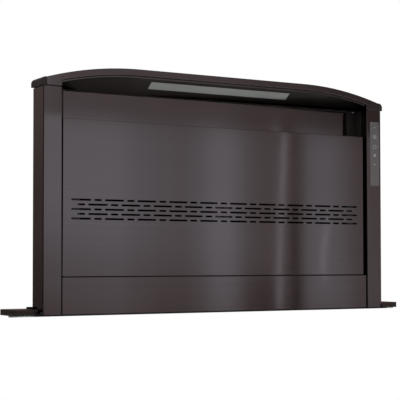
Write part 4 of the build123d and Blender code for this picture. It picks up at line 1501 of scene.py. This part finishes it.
# ---------------------------------------------------------------------------- studio
# Brightness of the boards that the brushed sheet mirrors, at places along X, and shares of it at
# heights. The low, middle and high boards differ where a band of light narrows with height.
LEFT_BANDS: tuple[Stop, ...] = ((-3.5, 0.12), (0.35, 0.16))
BANDS: tuple[Stop, ...] = (
    *LEFT_BANDS, (0.62, 0.95), (0.97, 0.96), (1.1, 0.79), (1.2, 0.7), (1.3, 0.65), (1.37, 0.76),
    (1.46, 1.0), (1.52, 1.03), (1.57, 0.83), (1.63, 0.59), (1.71, 0.48), (1.84, 0.46),
    (1.858, 0.43), (1.878, 0.1), (1.9, 0.1), (1.922, 0.66), (1.97, 0.8), (2.06, 0.82),
    (2.15, 0.7), (2.24, 0.46), (5.0, 0.45),
)
HIGH_BANDS: tuple[Stop, ...] = (
    *LEFT_BANDS, (0.62, 0.95), (0.97, 0.97), (1.1, 0.8), (1.2, 0.72), (1.3, 0.67), (1.37, 0.76),
    (1.46, 0.97), (1.52, 1.0), (1.57, 0.85), (1.63, 0.64), (1.71, 0.52), (1.84, 0.48),
    (1.878, 0.31), (1.9, 0.29), (1.925, 0.58), (1.97, 0.8), (2.06, 0.83), (2.15, 0.67),
    (2.24, 0.43), (5.0, 0.43),
)
LOW_BANDS: tuple[Stop, ...] = (
    *LEFT_BANDS, (0.62, 0.99), (0.97, 1.02), (1.1, 0.8), (1.2, 0.66), (1.3, 0.62), (1.37, 0.75),
    (1.46, 1.07), (1.52, 1.1), (1.57, 0.82), (1.63, 0.43), (1.71, 0.32), (1.84, 0.45),
    (1.858, 0.43), (1.88, 0.05), (1.9, 0.05), (1.922, 0.68), (1.97, 0.84), (2.06, 0.82),
    (2.15, 0.75), (2.24, 0.48), (5.0, 0.48),
)
UPPER_BANDS: tuple[Stop, ...] = (
    (-3.5, 0.15), (0.35, 0.2), (0.6, 0.64), (0.76, 0.42), (1.5, 0.37), (1.8, 0.29), (2.2, 0.18),
    (5.0, 0.18),
)
HEIGHTS: tuple[Stop, ...] = (
    (-2.0, 0.3), (-0.3, 0.44), (-0.1, 0.66), (-0.02, 0.79), (0.09, 0.96), (0.2, 1.04),
    (0.45, 1.01), (2.0, 1.01),
)
UPPER_HEIGHTS: tuple[Stop, ...] = ((0.7, 1.0), (0.79, 1.0), (0.84, 1.14), (3.4, 1.14))
REAR_HEIGHTS: tuple[Stop, ...] = (
    (-0.69, 0.05), (-0.1, 0.08), (0.25, 0.13), (0.8, 0.22), (2.6, 0.42),
)
LEFT_HEIGHTS: tuple[Stop, ...] = ((-0.69, 0.06), (3.4, 0.12))
RIGHT_HEIGHTS: tuple[Stop, ...] = ((-0.69, 0.1), (3.4, 0.35))
CEILING_HEIGHTS: tuple[Stop, ...] = ((3.0, 0.18), (4.0, 0.18))
EVEN: tuple[Stop, ...] = ((-6.0, 1.0), (6.0, 1.0))
TILT = 0.21  # how much lower the shares lie for each metre along X


@dataclass(frozen=True)
class Board:
    """A board that only reflections see: brightness along X, shares of it along Z, their tilt."""

    name: str
    low: Point
    high: Point
    across: tuple[Stop, ...]
    upward: tuple[Stop, ...]
    tilt: float = 0.0


def front_board(name: str, bottom: float, top: float, *brightness: object) -> Board:
    """Return a board in front of the tower, between two heights."""
    return Board(name, (-3.5, -2.52, bottom), (5.0, -2.5, top), *brightness)


FRONT_BOARDS = (
    front_board("front_low_board", -0.69, 0.036, LOW_BANDS, HEIGHTS, TILT),
    front_board("front_board", 0.036, 0.36, BANDS, HEIGHTS, TILT),
    front_board("front_high_board", 0.36, 0.7, HIGH_BANDS, HEIGHTS, TILT),
    front_board("front_upper_board", 0.7, 3.4, UPPER_BANDS, UPPER_HEIGHTS),
)
DIM_BOARDS = (
    Board("rear_board", (-5.0, 2.2, -0.69), (5.2, 2.22, 3.4), EVEN, REAR_HEIGHTS),
    Board("left_board", (-4.0, -2.5, -0.69), (-3.98, 2.2, 3.4), EVEN, LEFT_HEIGHTS),
    Board("right_board", (5.0, -2.5, -0.69), (5.02, 2.2, 3.4), EVEN, RIGHT_HEIGHTS),
    Board("ceiling_board", (-4.0, -2.5, 3.4), (5.0, 2.2, 3.42), EVEN, CEILING_HEIGHTS),
)


@dataclass(frozen=True)
class Softbox:
    """A soft rectangular lamp: its place, the point it faces, its width and height, its power."""

    name: str
    place: Point
    target: Point
    size: tuple[float, float]
    watts: float

    def hang(self) -> None:
        """Hang the lamp."""
        data = bpy.data.lights.new(self.name, "AREA")
        data.shape = "RECTANGLE"
        data.size, data.size_y = self.size
        data.energy = self.watts
        lamp = bpy.data.objects.new(self.name, data)
        bpy.context.collection.objects.link(lamp)
        lamp.location = self.place
        lamp.rotation_mode = "QUATERNION"
        way = Vector(self.target) - Vector(self.place)
        lamp.rotation_quaternion = way.to_track_quat("-Z", "Y")
        lamp.visible_glossy = False


SOFTBOXES = (
    Softbox("key_softbox", (-2.2, -2.6, 2.4), (0, 0, 0.1), (1.8, 1.8), 55.0),
    Softbox("fill_softbox", (2.6, -2.2, 1.6), (0, 0, 0.1), (1.6, 1.6), 25.0),
    Softbox("back_softbox", (0.5, 3.0, 2.2), (0, 0, 0.0), (2.0, 1.4), 30.0),
)


@dataclass
class Studio:
    """Floor, lamps, boards and camera."""

    air: float = 0.75
    floor_height: float = -690.0 * MM
    floor_size: float = 14.0
    floor_shades: tuple[float, float] = (0.84, 0.87)
    lens: float = 108.93
    sensor: float = 36.0
    shift: float = 0.05
    clip: tuple[float, float] = (0.01, 100.0)
    position: Point = (-1.2547, -2.0904, 0.1002)
    yaw: float = 30.057
    pitch: float = 1.972
    roll: float = -0.041
    worktop_edge: float = -31.8 * MM
    card_reach: float = 1.6
    card_distance: float = 0.3
    card_drop: float = 0.14
    heights_pivot: float = 1.5
    dim: Colour = (1.28, 0.95, 0.84)
    dim_from: float = 0.1
    clear_from: float = 0.8
    line_glow: float = 1.7
    line_low: Point = (1.768, -2.49, -0.12)
    line_high: Point = (1.786, -2.488, 0.7)
    line_lean: float = 0.041
    bow_width: float = 0.019
    bow_height: float = 0.28
    bow_rows: int = 12
    bow_place: Point = (2.022, -2.48, 0.15)
    bow_curve: float = 0.75
    bow_centre: float = -0.07

    def camera(self) -> None:
        """Place the camera where the photograph was taken from."""
        data = bpy.data.cameras.new("photo_camera")
        data.lens = self.lens
        data.sensor_width = self.sensor
        data.shift_y = self.shift
        data.clip_start, data.clip_end = self.clip
        camera = bpy.data.objects.new("photo_camera", data)
        bpy.context.collection.objects.link(camera)
        yaw, pitch, roll = (math.radians(v) for v in (self.yaw, self.pitch, self.roll))
        level = math.cos(pitch)
        ahead = Vector((math.sin(yaw) * level, math.cos(yaw) * level, math.sin(pitch)))
        right = Vector((math.cos(yaw), -math.sin(yaw), 0.0))
        up = right.cross(ahead)
        rolled_right = right * math.cos(roll) + up * math.sin(roll)
        rolled_up = up * math.cos(roll) - right * math.sin(roll)
        turn = Matrix((rolled_right, rolled_up, -ahead)).transposed().to_4x4()
        camera.matrix_world = Matrix.Translation(self.position) @ turn
        bpy.context.scene.camera = camera

    @staticmethod
    def glow(name: str, strength: float = 1.0) -> Graph:
        """Return the graph of a white that shows as bright as it is written, 1 being white."""
        graph = Graph(name, "Emission")
        graph.set(Color=WHITE, Strength=strength)
        return graph

    def world(self) -> None:
        """Set a white background and an even light."""
        world = bpy.data.worlds.new("studio_air")
        bpy.context.scene.world = world
        tree = Tree(world)
        light = tree.add("Background", Color=WHITE, Strength=self.air)
        seen = tree.add("Background", Color=WHITE, Strength=1.0)
        ray = tree.add("LightPath").outputs
        direct = tree.math("MAXIMUM", ray["Is Camera Ray"], ray["Is Glossy Ray"])
        mix = tree.add("MixShader", Fac=tree.math("MAXIMUM", direct, ray["Is Transmission Ray"]))
        for i, node in enumerate((light, seen), start=1):
            tree.feed(mix.inputs[i], node.outputs["Background"])
        tree.add("OutputWorld", Surface=mix.outputs["Shader"])

    def floor(self) -> None:
        """Lay a pale floor under the feet."""
        floor = Bench.sheet("studio_floor", self.floor_size, self.floor_height)
        graph = Graph("pale_floor")
        cloud = graph.noise(2.0, detail=2.0)
        colour = graph.tinted(cloud, WHITE, *self.floor_shades)
        graph.set(Roughness=0.9, Specular_IOR_Level=0.1, Base_Color=colour)
        Palette.put(floor, graph.material)

    def worktop_card(self) -> None:
        """Hold a small white card before the camera that hides what the worktop hides."""
        eye = Vector(self.position)
        corners = []
        for x in (-self.card_reach, self.card_reach):
            away = Vector((x, self.worktop_edge, 0.0)) - eye
            corners.append(eye + away * (self.card_distance / away.length))
        left, right = corners
        across, drop = right - left, Vector((0, 0, self.card_drop))
        card = Bench.sheet("worktop_card")
        place = Matrix((across, drop, across.cross(drop).normalized())).transposed().to_4x4()
        card.data.transform(Matrix.Translation((left + right - drop) / 2) @ place)
        Palette.put(card, self.glow("card_white").material)
        card.visible_diffuse = card.visible_glossy = card.visible_shadow = False
        card.visible_transmission = False

    @staticmethod
    def reflected_only(board: Object, graph: Graph) -> None:
        """Let a glowing board show in reflections and nowhere else."""
        Palette.put(board, graph.material)
        board.visible_camera = board.visible_diffuse = board.visible_shadow = False
        board.visible_transmission = False

    def graded(self, board: Board) -> Graph:
        """Draw a glow that changes softly along X and Z, and is warmer where it is dim.

        Args:
            board: The board whose brightness is drawn.

        Returns:
            The glow's graph.
        """
        graph = self.glow(f"{board.name}_grey")
        place = graph.add("SeparateXYZ", Vector=graph.coordinates).outputs
        sunk = graph.math("SUBTRACT", place["Z"], board.tilt * self.heights_pivot)
        height = graph.math("MULTIPLY_ADD", place["X"], board.tilt, sunk)
        shares = []
        for source, stops in ((place["X"], board.across), (height, board.upward)):
            low, high = stops[0][0], stops[-1][0]
            span = graph.add("MapRange", Value=source, From_Min=low, From_Max=high)
            greys = [((spot - low) / (high - low), (grey, grey, grey)) for spot, grey in stops]
            shares.append(graph.ramp(span.outputs["Result"], greys, "EASE"))
        bright = graph.math("MULTIPLY", *shares)
        tones = ((self.dim_from, self.dim), (self.clear_from, WHITE))
        graph.set(Strength=bright, Color=graph.ramp(bright, tones, "LINEAR"))
        return graph

    def boards(self, boards: Sequence[Board]) -> None:
        """Stand graded boards up."""
        for board in boards:
            block = Bench.block(board.name, board.low, board.high)
            self.reflected_only(block, self.graded(board))

    def leaning_line(self) -> None:
        """Stand a thin lamp before the front board that leans to the right."""
        line = Bench.block("front_line", self.line_low, self.line_high)
        lean = (self.line_lean, 0, 0)
        Bench.shift(line, Pick.FACES, lambda centre, normal: normal.z > FACING, lean)
        self.reflected_only(line, self.glow("front_line_glow", self.line_glow))

    def bowed_line(self) -> None:
        """Hang a thin bowed lamp before the front board."""
        lamp = Bench.sheet("bowed_line")
        lamp.data.transform(Matrix.Diagonal((self.bow_width, self.bow_height, 1.0, 1.0)))
        lamp.data.transform(STAND_UP)
        Bench.pick(lamp, Pick.FACES, lambda centre, normal: True)
        bpy.ops.mesh.subdivide(number_cuts=self.bow_rows - 1)
        Bench.done()
        x, y, rise = self.bow_place
        for row in range(self.bow_rows + 1):
            z = self.bow_height * (row / self.bow_rows - 0.5)
            way = (x + self.bow_curve * (z - self.bow_centre) ** 2, y, rise)
            Bench.shift(lamp, Pick.CORNERS, lambda place, normal: abs(place.z - z) < MM, way)
        self.reflected_only(lamp, self.glow("bowed_line_glow", self.line_glow))

    def build(self) -> None:
        """Set up the whole studio, with bright boards in front and dim ones all round."""
        self.world()
        self.floor()
        self.worktop_card()
        self.boards(FRONT_BOARDS)
        self.leaning_line()
        self.bowed_line()
        self.boards(DIM_BOARDS)
        for softbox in SOFTBOXES:
            softbox.hang()
        self.camera()


# ---------------------------------------------------------------------------- the whole vent
def dress_frame(frame: dict, palette: Palette) -> None:
    """Give every node of the frame the finish of its slot.

    Args:
        palette: The finishes.
    """
    slots = {entry["node"]: Slot(entry["material_slot"]) for entry in frame["record"]["subparts"]}
    for name, node in frame["nodes"].items():
        Palette.put(node, palette.by_slot[slots[name]])
        # the filter frames get their near-black finish, painted shade behind the slots
        if name.startswith("filter_frame"):
            Palette.put(node, palette.filter_frame)
        LOG.info("dressed %s as %s", name, slots[name].value)


def main() -> None:
    """Build the vent's looks in order and report each piece."""
    logging.basicConfig(level=logging.INFO, format="%(name)s: %(message)s")
    for old in list(bpy.data.objects):
        bpy.data.objects.remove(old, do_unlink=True)
    bpy.context.scene.view_settings.view_transform = "Standard"
    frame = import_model()
    palette = Palette()
    Studio().build()
    dress_frame(frame, palette)
    for group in (
        FrontPanel(),
        Crown(),
        TouchFields(),
        TrimFlange(),
        WiperCollar(),
        ScrollNeck(),
        HousingFasteners(),
    ):
        for piece in group.build(palette):
            LOG.info("built %s", piece.name)


if __name__ == "__main__":
    main()
